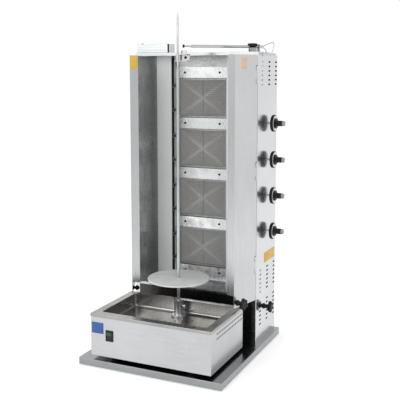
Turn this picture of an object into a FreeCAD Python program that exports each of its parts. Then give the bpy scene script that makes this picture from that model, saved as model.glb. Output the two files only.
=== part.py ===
"""Gas doner kebab grill, modelled as an assembly of separate pieces.

Millimetres, +X to the right seen from the front, +Y to the back, +Z up. The origin is on the
floor below the middle of the base. The rest position has the drip box pulled fully forward.
"""
import FreeCAD, Part
import math
import operator
import os

import Sketcher

# Driving sizes in millimetres, angles in degrees, and whole counts
SIZES = {
    # Sheet metal and running fits
    "sheet": 1.5,
    "bend": 2.0,
    "running_gap": 0.4,
    "shaft_fit": 0.05,
    "screw_play": 0.3,
    # Base tray and its feet
    "base_width": 550,
    "base_depth": 588,
    "base_top": 27,
    "base_skirt": 24,
    "foot_diameter": 36,
    "foot_inset": 40,
    "foot_thread": 6,
    "foot_thread_depth": 15,
    # Rails on the base and glides below the drip box
    "rail_spacing": 300,
    "rail_width": 16,
    "rail_height": 9,
    "rail_front": 262,
    "rail_back": 76,
    "glide_wall": 3,
    "glide_cheek": 5,
    "glide_inset": 20,
    # Drip box and the pan that covers it
    "box_width": 465,
    "box_front": 281,
    "box_back": 8,
    "box_top": 190,
    "pan_rim": 30,
    "pan_rear_rim": 22,
    "pan_lip": 11,
    "pan_depth": 50,
    "pan_bend": 12,
    "pan_corner": 10,
    "pan_shaft_hole": 20,
    "vent_hole": 6,
    "vent_hole_pitch": 14.7,
    "vent_hole_count": 16,
    "vent_hole_inset": 55,
    "vent_hole_drop": 24,
    "vent_row_gap": 17,
    # Rocker switch on the front of the box
    "switch_left": 155,
    "switch_height": 117,
    "bezel_width": 29,
    "bezel_length": 39,
    "bezel_proud": 2.5,
    "rocker_width": 20,
    "rocker_length": 30,
    "rocker_tilt": 7,
    # Geared motor, its stand and the drive to the spit
    "spit_forward": 48,
    "stand_width": 110,
    "stand_depth": 96,
    "stand_height": 78,
    "gearbox_width": 84,
    "gearbox_depth": 66,
    "gearbox_height": 60,
    "motor_diameter": 56,
    "motor_length": 78,
    "bearing_diameter": 48,
    "bearing_thickness": 9,
    "drive_diameter": 14,
    "drive_engagement": 30,
    # Spit
    "socket_flange": 54,
    "socket_flange_thickness": 6,
    "socket_lift": 1,
    "socket_diameter": 33,
    "socket_length": 60,
    "socket_depth": 45,
    "thumb_screw_height": 40,
    "spit_diameter": 12,
    "spit_neck_diameter": 8,
    "spit_neck_start": 1040,
    "spit_length_above_floor": 1237,
    "spit_point": 20,
    "plate_height": 285,
    "plate_diameter": 225,
    "plate_thickness": 2,
    "plate_edge": 5,
    "collar_diameter": 26,
    "collar_length": 18,
    # Tower shell
    "tower_width": 506,
    "tower_front": 83,
    "tower_back": 292,
    "tower_top": 1092,
    "side_return": 16,
    "sill_top": 210,
    "sill_lip": 8,
    "slot_length": 20,
    "slot_height": 6,
    "slot_pitch": 16.4,
    "slot_rows": 6,
    "slot_columns": 3,
    "slot_column_gap": 75,
    "slot_first_column": 45,
    "slot_upper_drop": 25,
    "slot_middle_height": 214,
    "slot_lower_height": 90,
    "back_slot_rows": 9,
    "back_slot_gap": 90,
    # Front frame of the tower
    "opening_width": 228,
    "column_width": 62,
    "column_front": 126,
    "column_return": 56,
    "recess_depth": 31,
    "crossbar_count": 5,
    "crossbar_top": 1049,
    "crossbar_pitch": 193,
    "crossbar_height": 41,
    "crossbar_set_back": 34,
    "crossbar_end": 12,
    "crossbar_screw_span": 144,
    # Burners
    "burner_width": 210,
    "burner_height": 150,
    "burner_set_back": 42,
    "burner_body_depth": 44,
    "burner_body_inset": 6,
    "burner_wall": 2,
    "mesh_width": 190,
    "mesh_height": 136,
    "mesh_crown": 5,
    "mesh_base": 1,
    "plaque_width": 93,
    "plaque_height": 134,
    "plaque_thickness": 12,
    "plaque_gap": 3,
    "ear_height": 14,
    "ear_spacing": 93,
    "tab_width": 16,
    "tab_rise": 29,
    "mixer_diameter": 26,
    "mixer_length": 45,
    "mixer_drop": 60,
    "injector_diameter": 14,
    "injector_length": 18,
    # Fasteners
    "screw_diameter": 4,
    "screw_head": 8,
    "screw_head_thickness": 2.4,
    "nut_thickness": 3,
    # Gas supply and knobs
    "knob_pitch": 135.7,
    "knob_top": 841,
    "knob_depth": 203,
    "valve_diameter": 26,
    "valve_length": 44,
    "valve_inlet": 16,
    "manifold_inset": 32,
    "manifold_size": 20,
    "manifold_gap": 22,
    "manifold_overrun": 25,
    "inlet_diameter": 21,
    "inlet_length": 26,
    "inlet_height": 380,
    "pipe_diameter": 8,
    "spindle_diameter": 8,
    "spindle_depth": 14,
    "knob_off_panel": 14,
    "knob_length": 49,
    "skirt_diameter": 63,
    "skirt_depth": 12.5,
    "handle_diameter": 22,
    "handle_flange": 37,
    "spindle_grip": 22,
    "push_travel": 4,
    "gland_diameter": 22,
    "gland_length": 16,
    "gland_across": 190,
    # Side wings and their hinges
    "wing_length": 132,
    "wing_bottom": 198,
    "wing_top": 1090,
    "wing_flange": 30,
    "wing_flange_bottom": 243,
    "right_toe_in": 15,
    "left_toe_in": 25,
    "hinge_inset": 4.5,
    "hinge_gap": 0.5,
    "barrel_diameter": 10,
    "pin_diameter": 5,
    "barrel_length": 15,
    "hinge_count": 3,
    "hinge_pitch": 345,
    "hinge_first": 300,
    "leaf_reach": 14,
    # Star knobs
    "star_diameter": 44,
    "star_thickness": 14,
    "star_lobes": 6,
    "star_neck": 22,
    "star_stud": 8,
    "star_reach": 33,
    "nut_spacer": 10,
    "wing_knob_height": 214,
    "wing_knob_along": 107,
    "side_knob_height": 148,
    "side_knob_back": 169,
    # Sliding top plate, clamp, rod and yoke
    "top_plate_width": 500,
    "top_plate_front": 92,
    "top_plate_back": 226,
    "top_plate_height": 10,
    "guide_width": 14,
    "top_box_width": 42,
    "top_box_height": 33,
    "top_box_length": 132,
    "top_box_wall": 2,
    "top_box_front": 109,
    "top_box_cap": 8,
    "clamp_across": 216,
    "clamp_back": 123,
    "clamp_size": 24,
    "clamp_roof": 3,
    "clamp_knob_diameter": 36,
    "clamp_knob_height": 16,
    "rod_diameter": 10,
    "rod_lift": 6.5,
    "rod_start": 47,
    "rod_end": 317,
    "rod_pin_diameter": 6,
    "rod_pin_start": 17,
    "handle_wire": 4,
    "handle_reach": 42,
    "handle_rise": 17,
    "handle_drop": 35,
    "handle_level": 9,
    "yoke_left": 15,
    "yoke_right": 40,
    "yoke_height": 42,
    "yoke_channel": 26,
    "yoke_gap": 2.6,
    "yoke_set_back": 13,
    "yoke_reach": 12,
    "yoke_sheet": 3,
    "travel": 60,
}


class Formula:
    """A number together with the spreadsheet formula that gives it."""

    def __init__(self, number, text):
        self.number = number
        self.text = text

    def __add__(self, other):
        return combine(self, "+", other)

    def __radd__(self, other):
        return combine(other, "+", self)

    def __sub__(self, other):
        return combine(self, "-", other)

    def __rsub__(self, other):
        return combine(other, "-", self)

    def __mul__(self, other):
        return combine(self, "*", other)

    def __rmul__(self, other):
        return combine(other, "*", self)

    def __truediv__(self, other):
        return combine(self, "/", other)

    def __neg__(self):
        return combine(0, "-", self)


OPERATIONS = {"+": operator.add, "-": operator.sub, "*": operator.mul, "/": operator.truediv}


def formula(value):
    """The value itself if it is a formula already, or a plain number made into one."""
    return value if isinstance(value, Formula) else Formula(value, repr(value))


def combine(first, sign, second):
    first, second = formula(first), formula(second)
    number = OPERATIONS[sign](first.number, second.number)
    return Formula(number, f"({first.text} {sign} {second.text})")


def sine(angle):
    return Formula(math.sin(math.radians(angle.number)), f"sin({angle.text})")


def cosine(angle):
    return Formula(math.cos(math.radians(angle.number)), f"cos({angle.text})")


def root(value):
    return Formula(math.sqrt(value.number), f"sqrt({value.text})")


class Sheet:
    """The spreadsheet of driving sizes: each size is an attribute that holds its formula."""

    def __init__(self, document, sizes):
        cells = document.addObject("Spreadsheet::Sheet", "Sizes")
        for row, (name, value) in enumerate(sizes.items(), start=1):
            cells.set(f"A{row}", name)
            cells.set(f"B{row}", str(value))
            cells.setAlias(f"B{row}", name)
            setattr(self, name, Formula(value, f"Sizes.{name}"))
        document.recompute()


doc = FreeCAD.newDocument("doner_grill")
size = Sheet(doc, SIZES)
PARTS = []

# Which origin plane a direction is drawn on, and the sense of that plane's own normal
PLANES = {"x": ("YZ_Plane", 1), "y": ("XZ_Plane", -1), "z": ("XY_Plane", 1)}
TURN_Z_TO_X = FreeCAD.Rotation(FreeCAD.Vector(0, 1, 0), 90)
TURN_Z_TO_Y = FreeCAD.Rotation(FreeCAD.Vector(1, 0, 0), -90)
UP = FreeCAD.Vector(0, 0, 1)
TO_FRONT = FreeCAD.Vector(0, -1, 0)
TURN_WEDGE = FreeCAD.Rotation(UP, TO_FRONT, FreeCAD.Vector(1, 0, 0), "XYZ")


# Drawing tools

def bind(thing, name, value):
    thing.setExpression(name, formula(value).text)


def new_body(label, place=(0, 0, 0), turn=None):
    """A named sub-part whose own origin is put at a place worked out from the sheet."""
    body = doc.addObject("PartDesign::Body", label)
    body.Label = label
    body.Placement = FreeCAD.Placement(FreeCAD.Vector(), turn or FreeCAD.Rotation())
    for letter, value in zip("xyz", place):
        bind(body, f"Placement.Base.{letter}", value)
    PARTS.append(body)
    return body


def rectangle(across, along):
    """Corners of a rectangle between two pairs of limits."""
    (left, right), (low, high) = across, along
    return [(left, low), (right, low), (right, high), (left, high)]


def mirrored(points):
    """The same corners on the other side of the vertical axis."""
    return [(-formula(across), along) for across, along in reversed(points)]


class Circle:
    def __init__(self, across, along, diameter):
        self.centre = (across, along)
        self.diameter = diameter


class Slot:
    """A round-ended slot that lies along the sketch's first direction."""

    def __init__(self, across, along, length, height):
        self.centres = [(across - (length - height) / 2, along), (across + (length - height) / 2, along)]
        self.height = height


class Drawing:
    """A sketch whose every distance is bound to the sheet."""

    def __init__(self, body, axis, where):
        role, sense = PLANES[axis]
        plane = next(item for item in body.Origin.OriginFeatures if item.Role == role)
        self.sketch = body.newObject("Sketcher::SketchObject", f"{body.Name}_outline")
        self.sketch.AttachmentSupport = [(plane, "")]
        self.sketch.MapMode = "FlatFace"
        bind(self.sketch, ".AttachmentOffset.Base.z", formula(where) * sense)
        self.constraints = []
        self.values = []

    def tie(self, value, kind, *places):
        value = formula(value)
        self.values.append((len(self.constraints), value))
        self.constraints.append(Sketcher.Constraint(kind, *places, float(value.number)))

    def join(self, kind, *places):
        self.constraints.append(Sketcher.Constraint(kind, *places))

    def pin(self, element, point, place):
        self.tie(place[0], "DistanceX", -1, 1, element, point)
        self.tie(place[1], "DistanceY", -1, 1, element, point)

    def add(self, outline):
        if isinstance(outline, Circle):
            self.add_circle(outline)
        elif isinstance(outline, Slot):
            self.add_slot(outline)
        else:
            self.add_corners(outline)

    def add_corners(self, points, closed=True):
        first = self.sketch.GeometryCount
        corners = [FreeCAD.Vector(formula(a).number, formula(b).number, 0) for a, b in points]
        ends = corners[1:] + corners[:1] if closed else corners[1:]
        lines = [Part.LineSegment(start, end) for start, end in zip(corners, ends)]
        self.sketch.addGeometry(lines, False)
        for step, point in enumerate(points[:len(lines)]):
            following = (step + 1) % len(points)
            if following < len(lines):
                self.join("Coincident", first + step, 2, first + following, 1)
            self.pin(first + step, 1, point)
        if not closed:
            self.pin(first + len(lines) - 1, 2, points[-1])

    def add_circle(self, circle):
        number = self.sketch.GeometryCount
        centre = FreeCAD.Vector(*(formula(value).number for value in circle.centre), 0)
        radius = formula(circle.diameter).number / 2
        self.sketch.addGeometry(Part.Circle(centre, FreeCAD.Vector(0, 0, 1), radius), False)
        self.pin(number, 3, circle.centre)
        self.tie(circle.diameter, "Diameter", number)

    def add_slot(self, slot):
        first = self.sketch.GeometryCount
        left, right = [FreeCAD.Vector(a.number, formula(b).number, 0) for a, b in slot.centres]
        radius = slot.height.number / 2
        lift = FreeCAD.Vector(0, radius, 0)
        quarter = math.pi / 2
        round_left = Part.ArcOfCircle(Part.Circle(left, UP, radius), quarter, 3 * quarter)
        round_right = Part.ArcOfCircle(Part.Circle(right, UP, radius), -quarter, quarter)
        bottom = Part.LineSegment(left - lift, right - lift)
        top = Part.LineSegment(right + lift, left + lift)
        self.sketch.addGeometry([round_left, bottom, round_right, top], False)
        self.join("Tangent", first, 2, first + 1, 1)
        self.join("Tangent", first + 1, 2, first + 2, 1)
        self.join("Tangent", first + 2, 2, first + 3, 1)
        self.join("Tangent", first + 3, 2, first, 1)
        self.join("Equal", first, first + 2)
        self.pin(first, 3, slot.centres[0])
        self.pin(first + 2, 3, slot.centres[1])
        self.tie(slot.height / 2, "Radius", first)

    def finish(self):
        self.sketch.addConstraint(self.constraints)
        for index, value in self.values:
            bind(self.sketch, f"Constraints[{index}]", value)
        return self.sketch


def draw(body, axis, where, outlines):
    drawing = Drawing(body, axis, where)
    for outline in outlines:
        drawing.add(outline)
    return drawing.finish()


def extrude(body, axis, limits, *outlines, cut=False):
    """Material, or a cut, between two limits along an axis of the body."""
    start, stop = limits
    sketch = draw(body, axis, start, outlines)
    feature = body.newObject("PartDesign::Pocket" if cut else "PartDesign::Pad", f"{body.Name}_run")
    feature.Profile = sketch
    feature.Reversed = (PLANES[axis][1] < 0) != cut
    bind(feature, "Length", formula(stop) - start)
    if cut:
        check_cut(body, feature)
    return feature


def check_cut(body, feature):
    """Stops if a cut took nothing away, which shows a wrong direction."""
    doc.recompute()
    before = feature.BaseFeature.Shape.Volume
    if not feature.Shape.Volume < before - 1e-6:
        raise RuntimeError(f"a cut in {body.Label} removed nothing")


def revolve(body, points, cut=False):
    """A ring of material, or a groove, from a half profile of radius and height about the body's Z."""
    sketch = draw(body, "y", 0, [points])
    kind = "PartDesign::Groove" if cut else "PartDesign::Revolution"
    feature = body.newObject(kind, f"{body.Name}_turned")
    feature.Profile = sketch
    feature.ReferenceAxis = (sketch, ["V_Axis"])
    feature.Angle = 360
    return feature


def repeat(body, feature, steps, second_steps=None):
    """Copies of a feature along the first, and if given the second, direction of its sketch.

    Each steps value is the sketch axis, the pitch and the count.
    """
    sketch = feature.Profile[0]
    pattern = body.newObject("PartDesign::LinearPattern", f"{body.Name}_row")
    pattern.Originals = [feature]
    axis, pitch, count = steps
    pattern.Direction = (sketch, [axis])
    pattern.Mode = "Spacing"
    bind(pattern, "Offset", pitch)
    bind(pattern, "Occurrences", count)
    if second_steps:
        axis, pitch, count = second_steps
        pattern.Direction2 = (sketch, [axis])
        pattern.Mode2 = "Spacing"
        pattern.Spacings2 = [-1.0] * (formula(count).number - 1)
        bind(pattern, "Offset2", pitch)
        bind(pattern, "Occurrences2", count)
    body.Tip = pattern
    return pattern


def repeat_round(body, feature, count):
    pattern = body.newObject("PartDesign::PolarPattern", f"{body.Name}_round")
    pattern.Originals = [feature]
    pattern.Axis = (feature.Profile[0], ["N_Axis"])
    pattern.Angle = 360
    bind(pattern, "Occurrences", count)
    body.Tip = pattern
    return pattern


def round_edges(body, feature, radius, wanted):
    """A fillet on the edges of a feature for which wanted(edge) is true."""
    doc.recompute()
    names = [f"Edge{number}" for number, edge in enumerate(feature.Shape.Edges, start=1) if wanted(edge)]
    if not names:
        raise RuntimeError(f"no edges to round on {body.Label}")
    fillet = body.newObject("PartDesign::Fillet", f"{body.Name}_rounded")
    fillet.Base = (feature, names)
    bind(fillet, "Radius", radius)
    body.Tip = fillet
    return fillet


def at(value, wanted):
    return abs(value - formula(wanted).number) < 0.001


def is_upright(edge):
    ends = [vertex.Point for vertex in edge.Vertexes]
    return len(ends) == 2 and (ends[0] - ends[1]).cross(UP).Length < 0.001


def stays_at(edge, **places):
    """True where the whole edge has the given coordinates, such as z=12."""
    box = edge.BoundBox
    return all(
        at(getattr(box, f"{axis.upper()}Min"), place) and at(getattr(box, f"{axis.upper()}Max"), place)
        for axis, place in places.items()
    )


def is_at_side(edge, half_width):
    """True for an edge that stays at one of two mirrored places along X."""
    return stays_at(edge, x=half_width) or stays_at(edge, x=-half_width)


# Places that several pieces share, worked out from the driving sizes

half_base = size.base_width / 2
base_front = -size.base_depth / 2
tray_under = size.base_top - size.sheet
half_box = size.box_width / 2
half_box_wall = half_box - size.sheet
box_front = -size.box_front
rail_top = size.base_top + size.rail_height
glide_bottom = rail_top + size.running_gap
box_bottom = glide_bottom + size.glide_wall
box_floor = box_bottom + size.sheet
pan_underside = size.box_top - size.sheet
pan_floor = size.box_top - size.pan_depth
spit_y = -size.spit_forward
stand_top = box_floor + size.stand_height
gearbox_bottom = stand_top - size.sheet - size.gearbox_height
bearing_top = stand_top + size.bearing_thickness
socket_bottom = pan_floor + size.socket_lift
socket_top = socket_bottom + size.socket_length
spit_foot = socket_top - size.socket_depth
half_tower = size.tower_width / 2
half_tower_inside = half_tower - size.sheet
cover_under = size.tower_top - size.sheet
half_opening = size.opening_width / 2
column_outer = half_opening + size.column_width
column_back = size.column_front + size.column_return
recess_front = size.column_front + size.recess_depth
crossbar_front = size.column_front + size.crossbar_set_back
lowest_crossbar_top = size.crossbar_top - (size.crossbar_count - 1) * size.crossbar_pitch
burner_count = size.crossbar_count - 1
burner_front = size.column_front + size.burner_set_back
burner_back = burner_front + size.sheet + size.burner_body_depth
burner_drop = (size.crossbar_pitch + size.crossbar_height) / 2
spindle_bore = size.spindle_diameter + 2 * size.shaft_fit
pin_bore = size.pin_diameter + 2 * size.shaft_fit
drive_bore = size.drive_diameter + 2 * size.shaft_fit
spit_bore = size.spit_diameter / 2 + size.shaft_fit
hinge_x = half_tower - size.hinge_inset
hinge_y = size.tower_front - size.barrel_diameter / 2 - size.hinge_gap
wing_knob_up = size.wing_knob_height - size.wing_bottom
manifold_x = half_tower_inside - size.manifold_inset
manifold_y = size.knob_depth + size.manifold_gap
inlet_pipe = size.inlet_diameter * 0.75
lowest_knob = size.knob_top - (burner_count - 1) * size.knob_pitch
top_plate_top = size.tower_top + size.running_gap + size.top_plate_height
rod_height = top_plate_top + size.rod_lift
clamp_top = top_plate_top + size.clamp_size
rod_run = root(
    size.clamp_across * size.clamp_across
    + (size.clamp_back + size.spit_forward) * (size.clamp_back + size.spit_forward)
)
rod_cosine = size.clamp_across / rod_run
rod_sine = (size.clamp_back + size.spit_forward) / rod_run


def burner_centre(number):
    return size.crossbar_top - burner_drop - (number - 1) * size.crossbar_pitch


def knob_centre(number):
    return size.knob_top - (number - 1) * size.knob_pitch


def both_sides(points):
    """An outline on the right and the same one mirrored to the left."""
    return [points, mirrored(points)]


# Base

def make_base_plate():
    body = new_body("base_plate")
    skirt_bottom = size.base_top - size.base_skirt
    outer = rectangle((-half_base, half_base), (base_front, -base_front))
    block = extrude(body, "z", (skirt_bottom, size.base_top), outer)
    corners = round_edges(body, block, size.bend * 2, is_upright)
    rim = round_edges(body, corners, size.bend, lambda edge: stays_at(edge, z=size.base_top))
    body.Tip = rim
    inner_x = half_base - size.sheet
    inner_y = -base_front - size.sheet
    hollow = rectangle((-inner_x, inner_x), (-inner_y, inner_y))
    extrude(body, "z", (skirt_bottom, tray_under), hollow, cut=True)


def make_rubber_feet():
    body = new_body("rubber_feet")
    across = half_base - size.foot_inset
    along = -base_front - size.foot_inset
    feet = [Circle(x, y, size.foot_diameter) for x in (-across, across) for y in (-along, along)]
    pads = extrude(body, "z", (0, tray_under), *feet)
    round_edges(body, pads, size.bend, lambda edge: stays_at(edge, z=0))
    threads = [Circle(x, y, size.foot_thread) for x in (-across, across) for y in (-along, along)]
    extrude(body, "z", (0, size.foot_thread_depth), *threads, cut=True)


def make_base_rails():
    body = new_body("base_rails")
    middle = size.rail_spacing / 2
    rail = rectangle((middle - size.rail_width / 2, middle + size.rail_width / 2),
                     (-size.rail_front, size.rail_back))
    rails = extrude(body, "z", (size.base_top, rail_top), *both_sides(rail))
    round_edges(body, rails, size.sheet, lambda edge: is_upright(edge))


# Drip box

def make_box_glides():
    """Two nylon channels under the box that straddle the rails."""
    body = new_body("box_glides")
    middle = size.rail_spacing / 2
    slack = size.rail_width / 2 + size.running_gap
    outside = slack + size.glide_wall
    low = glide_bottom - size.glide_cheek
    channel = [
        (middle - outside, low), (middle - slack, low), (middle - slack, glide_bottom),
        (middle + slack, glide_bottom), (middle + slack, low), (middle + outside, low),
        (middle + outside, box_bottom), (middle - outside, box_bottom),
    ]
    run = (box_front + size.glide_inset, size.box_back - size.glide_inset)
    extrude(body, "y", run, *both_sides(channel))


def make_motor_box():
    """The open-topped box that carries the motor, the switch and the pan."""
    body = new_body("motor_box")
    front = box_front + size.sheet
    back = size.box_back - size.sheet
    outer = rectangle((-half_box_wall, half_box_wall), (front, back))
    block = extrude(body, "z", (box_bottom, pan_underside), outer)
    round_edges(body, block, size.bend, is_upright)
    inner_x = half_box_wall - size.sheet
    inner = rectangle((-inner_x, inner_x), (front + size.sheet, back - size.sheet))
    extrude(body, "z", (box_floor, pan_underside), inner, cut=True)
    lower_row = size.box_top - size.vent_hole_drop - size.vent_row_gap
    first_hole = Circle(box_front + size.vent_hole_inset, lower_row, size.vent_hole)
    hole = extrude(body, "x", (-half_box, half_box), first_hole, cut=True)
    repeat(body, hole, ("H_Axis", size.vent_hole_pitch, size.vent_hole_count),
           ("V_Axis", size.vent_row_gap, 2))
    window_x = (size.rocker_width + size.bezel_width) / 4
    window_z = (size.rocker_length + size.bezel_length) / 4
    window = rectangle((-size.switch_left - window_x, -size.switch_left + window_x),
                       (size.switch_height - window_z, size.switch_height + window_z))
    extrude(body, "y", (front, front + size.sheet), window, cut=True)


def make_drip_pan():
    """The lift-off cover of the box: rim, turned-down lip and sunken pan in one pressing."""
    body = new_body("drip_pan")
    low = size.box_top - size.pan_lip
    outer = rectangle((-half_box, half_box), (box_front, size.box_back))
    cover = extrude(body, "z", (low, size.box_top), outer)
    corners = round_edges(body, cover, size.bend, is_upright)
    round_edges(body, corners, size.bend, lambda edge: stays_at(edge, z=size.box_top))
    under = rectangle((-half_box_wall, half_box_wall),
                      (box_front + size.sheet, size.box_back - size.sheet))
    extrude(body, "z", (low, pan_underside), under, cut=True)
    side = half_box - size.pan_rim
    front = box_front + size.pan_rim
    back = size.box_back - size.pan_rear_rim
    tub = rectangle((-side - size.sheet, side + size.sheet), (front - size.sheet, back + size.sheet))
    tub_bottom = pan_floor - size.sheet
    extrude(body, "z", (tub_bottom, pan_underside), tub)
    hollow = extrude(body, "z", (pan_floor, size.box_top), rectangle((-side, side), (front, back)), cut=True)
    step = round_edges(body, hollow, size.pan_corner,
                       lambda edge: is_upright(edge) and at(edge.BoundBox.ZMin, pan_floor))
    step = round_edges(body, step, size.pan_bend - size.sheet, lambda edge: stays_at(edge, z=pan_floor))
    step = round_edges(body, step, size.pan_corner + size.sheet,
                       lambda edge: is_upright(edge) and at(edge.BoundBox.ZMin, tub_bottom))
    round_edges(body, step, size.pan_bend, lambda edge: stays_at(edge, z=tub_bottom))
    extrude(body, "z", (tub_bottom, pan_floor), Circle(0, spit_y, size.pan_shaft_hole), cut=True)


def make_switch():
    """Rocker switch on the front of the box: a fixed frame and a rocker that tilts in it."""
    body = new_body("switch_bezel", (-size.switch_left, box_front + size.sheet, size.switch_height))
    half_width = size.bezel_width / 2
    half_length = size.bezel_length / 2
    proud = -size.sheet - size.bezel_proud
    plate = extrude(body, "y", (proud, 0), rectangle((-half_width, half_width), (-half_length, half_length)))
    round_edges(body, plate, size.sheet, lambda edge: stays_at(edge, y=proud))
    neck_x = (size.rocker_width + size.bezel_width) / 4
    neck_z = (size.rocker_length + size.bezel_length) / 4
    depth = 4 * size.bend
    extrude(body, "y", (0, depth * 2), rectangle((-neck_x, neck_x), (-neck_z, neck_z)))
    gap_x = size.rocker_width / 2 + size.running_gap
    gap_z = size.rocker_length / 2 + 3 * size.running_gap
    extrude(body, "y", (proud, depth), rectangle((-gap_x, gap_x), (-gap_z, gap_z)), cut=True)

    rocker = new_body("switch_rocker", (-size.switch_left, box_front + size.sheet, size.switch_height))
    rocker.Placement.Rotation = FreeCAD.Rotation(FreeCAD.Vector(1, 0, 0), SIZES["rocker_tilt"])
    bind(rocker, "Placement.Rotation.Angle", size.rocker_tilt)
    half_length = size.rocker_length / 2
    shoulder = -size.bezel_proud - size.sheet
    crown = shoulder - size.bend
    profile = [(shoulder, -half_length), (crown, -half_length), (shoulder, 0), (crown, half_length),
               (shoulder, half_length), (size.bend, 0)]
    width = (-size.rocker_width / 2, size.rocker_width / 2)
    extrude(rocker, "x", width, profile)
    extrude(rocker, "x", width, Circle(0, 0, 2.5 * size.bend))


# Drive

def make_motor_stand():
    body = new_body("motor_bracket", (0, spit_y, 0))
    half_width = size.stand_width / 2
    half_depth = size.stand_depth / 2
    low_top = stand_top - size.sheet
    bent = [
        (-half_depth, box_floor), (-half_depth + size.sheet, box_floor), (-half_depth + size.sheet, low_top),
        (half_depth - size.sheet, low_top), (half_depth - size.sheet, box_floor), (half_depth, box_floor),
        (half_depth, stand_top), (-half_depth, stand_top),
    ]
    extrude(body, "x", (-half_width, half_width), bent)
    hole = Circle(0, 0, drive_bore + 2 * size.screw_play)
    extrude(body, "z", (low_top, stand_top), hole, cut=True)


def make_gear_motor():
    """Right-angle gearbox under the stand with its motor lying to the left."""
    body = new_body("gear_motor", (0, spit_y, gearbox_bottom))
    half_width = size.gearbox_width / 2
    half_depth = size.gearbox_depth / 2
    case = rectangle((-half_width, half_width), (-half_depth, half_depth))
    block = extrude(body, "z", (0, size.gearbox_height), case)
    round_edges(body, block, 2 * size.bend, is_upright)
    middle = size.gearbox_height / 2
    left = -half_width - size.motor_length
    can = Circle(0, middle, size.motor_diameter)
    extrude(body, "x", (left, -half_width), can)
    boss = Circle(0, middle, size.motor_diameter / 2)
    extrude(body, "x", (left - 2 * size.bend, left), boss)
    bore = Circle(0, 0, drive_bore)
    extrude(body, "z", (size.gearbox_height - size.drive_engagement, size.gearbox_height), bore, cut=True)


def make_drive():
    bearing = new_body("shaft_bearing", (0, spit_y, stand_top))
    flange = size.bearing_thickness / 3
    neck = size.bearing_diameter / 3
    revolve(bearing, [
        (drive_bore / 2, 0), (size.bearing_diameter / 2, 0), (size.bearing_diameter / 2, flange),
        (neck, flange), (neck, size.bearing_thickness), (drive_bore / 2, size.bearing_thickness),
    ])
    shaft_bottom = stand_top - size.sheet - size.drive_engagement
    shaft = new_body("drive_shaft", (0, spit_y, 0))
    run = extrude(shaft, "z", (shaft_bottom, socket_bottom), Circle(0, 0, size.drive_diameter))
    round_edges(shaft, run, size.sheet / 2, lambda edge: stays_at(edge, z=shaft_bottom))


# Spit

def make_drive_socket():
    """The turning socket on the pan floor with the thumb screw that holds the spit."""
    body = new_body("drive_socket", (0, spit_y, socket_bottom))
    flange = size.socket_flange / 2
    tube = size.socket_diameter / 2
    thick = size.socket_flange_thickness
    edge = size.bend / 2
    bore = spit_bore
    floor = size.socket_length - size.socket_depth
    revolve(body, [
        (0, 0), (flange, 0), (flange, thick - edge), (flange - edge, thick), (tube, thick),
        (tube, size.socket_length - edge), (tube - edge, size.socket_length),
        (bore, size.socket_length), (bore, floor), (0, floor),
    ])
    reach = tube + size.screw_head
    screw = Circle(0, size.thumb_screw_height, size.screw_head)
    head = Circle(0, size.thumb_screw_height, size.socket_diameter / 2)
    extrude(body, "x", (tube - size.bend, reach), screw)
    extrude(body, "x", (reach, reach + size.bend * 2), head)


def make_spit_rod():
    body = new_body("spit_rod", (0, spit_y, 0))
    thick = size.spit_diameter / 2
    thin = size.spit_neck_diameter / 2
    tip = size.spit_length_above_floor
    start = tip - size.spit_point
    shoulder = size.spit_neck_start
    point = size.sheet / 3
    revolve(body, [
        (0, spit_foot), (thick, spit_foot), (thick, shoulder), (thin, shoulder + size.bend),
        (thin, start), (point, tip), (0, tip),
    ])


def make_meat_plate():
    body = new_body("meat_plate", (0, spit_y, size.plate_height))
    bore = spit_bore
    outer = size.plate_diameter / 2
    inner = outer - size.sheet
    roll = outer - size.bend / 2
    revolve(body, [
        (bore, -size.plate_thickness), (inner, -size.plate_thickness), (inner, -size.plate_edge),
        (outer, -size.plate_edge), (outer, -size.bend / 2), (roll, 0), (bore, 0),
    ])


def make_plate_collar():
    """The ring under the plate that carries it, with its grub screw."""
    body = new_body("plate_collar", (0, spit_y, size.plate_height - size.plate_thickness))
    bore = spit_bore
    outer = size.collar_diameter / 2
    edge = size.bend / 2
    revolve(body, [
        (bore, -size.collar_length), (outer - edge, -size.collar_length),
        (outer, edge - size.collar_length), (outer, 0), (bore, 0),
    ])
    grub = Circle(0, -size.collar_length / 2, size.screw_diameter)
    extrude(body, "x", (outer - size.bend, outer + size.screw_head / 2), grub)


# Tower shell

def side_outline(side):
    """Plan of a side panel: the wall with a return at the front and one at the back."""
    back = size.tower_back - size.sheet
    turn = half_tower - size.sheet - size.side_return
    points = [
        (turn, size.tower_front), (half_tower, size.tower_front), (half_tower, back), (turn, back),
        (turn, back - size.sheet), (half_tower_inside, back - size.sheet),
        (half_tower_inside, size.tower_front + size.sheet), (turn, size.tower_front + size.sheet),
    ]
    return points if side > 0 else mirrored(points)


def cut_slot_field(body, side, low):
    """A field of round-ended slots in a side wall, counted up from its lowest row.

    The left wall has no slots in front of its recess panel.
    """
    wall = (half_tower_inside, half_tower) if side > 0 else (-half_tower, -half_tower_inside)
    first = size.tower_front + size.slot_first_column
    count = size.slot_columns
    if side < 0:
        first = first + size.slot_column_gap
        count = count - 1
    slot = extrude(body, "x", wall, Slot(first, low, size.slot_length, size.slot_height), cut=True)
    repeat(body, slot, ("V_Axis", size.slot_pitch, size.slot_rows), ("H_Axis", size.slot_column_gap, count))


def make_side_panel(label, side):
    body = new_body(label)
    wall = extrude(body, "z", (size.base_top, cover_under), side_outline(side))
    round_edges(body, wall, size.bend * 0.7, lambda edge: is_upright(edge) and is_at_side(edge, half_tower))
    upper = size.tower_top - size.slot_upper_drop - (size.slot_rows - 1) * size.slot_pitch
    for low in (upper, size.slot_middle_height, size.slot_lower_height):
        cut_slot_field(body, side, low)
    return body


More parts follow.
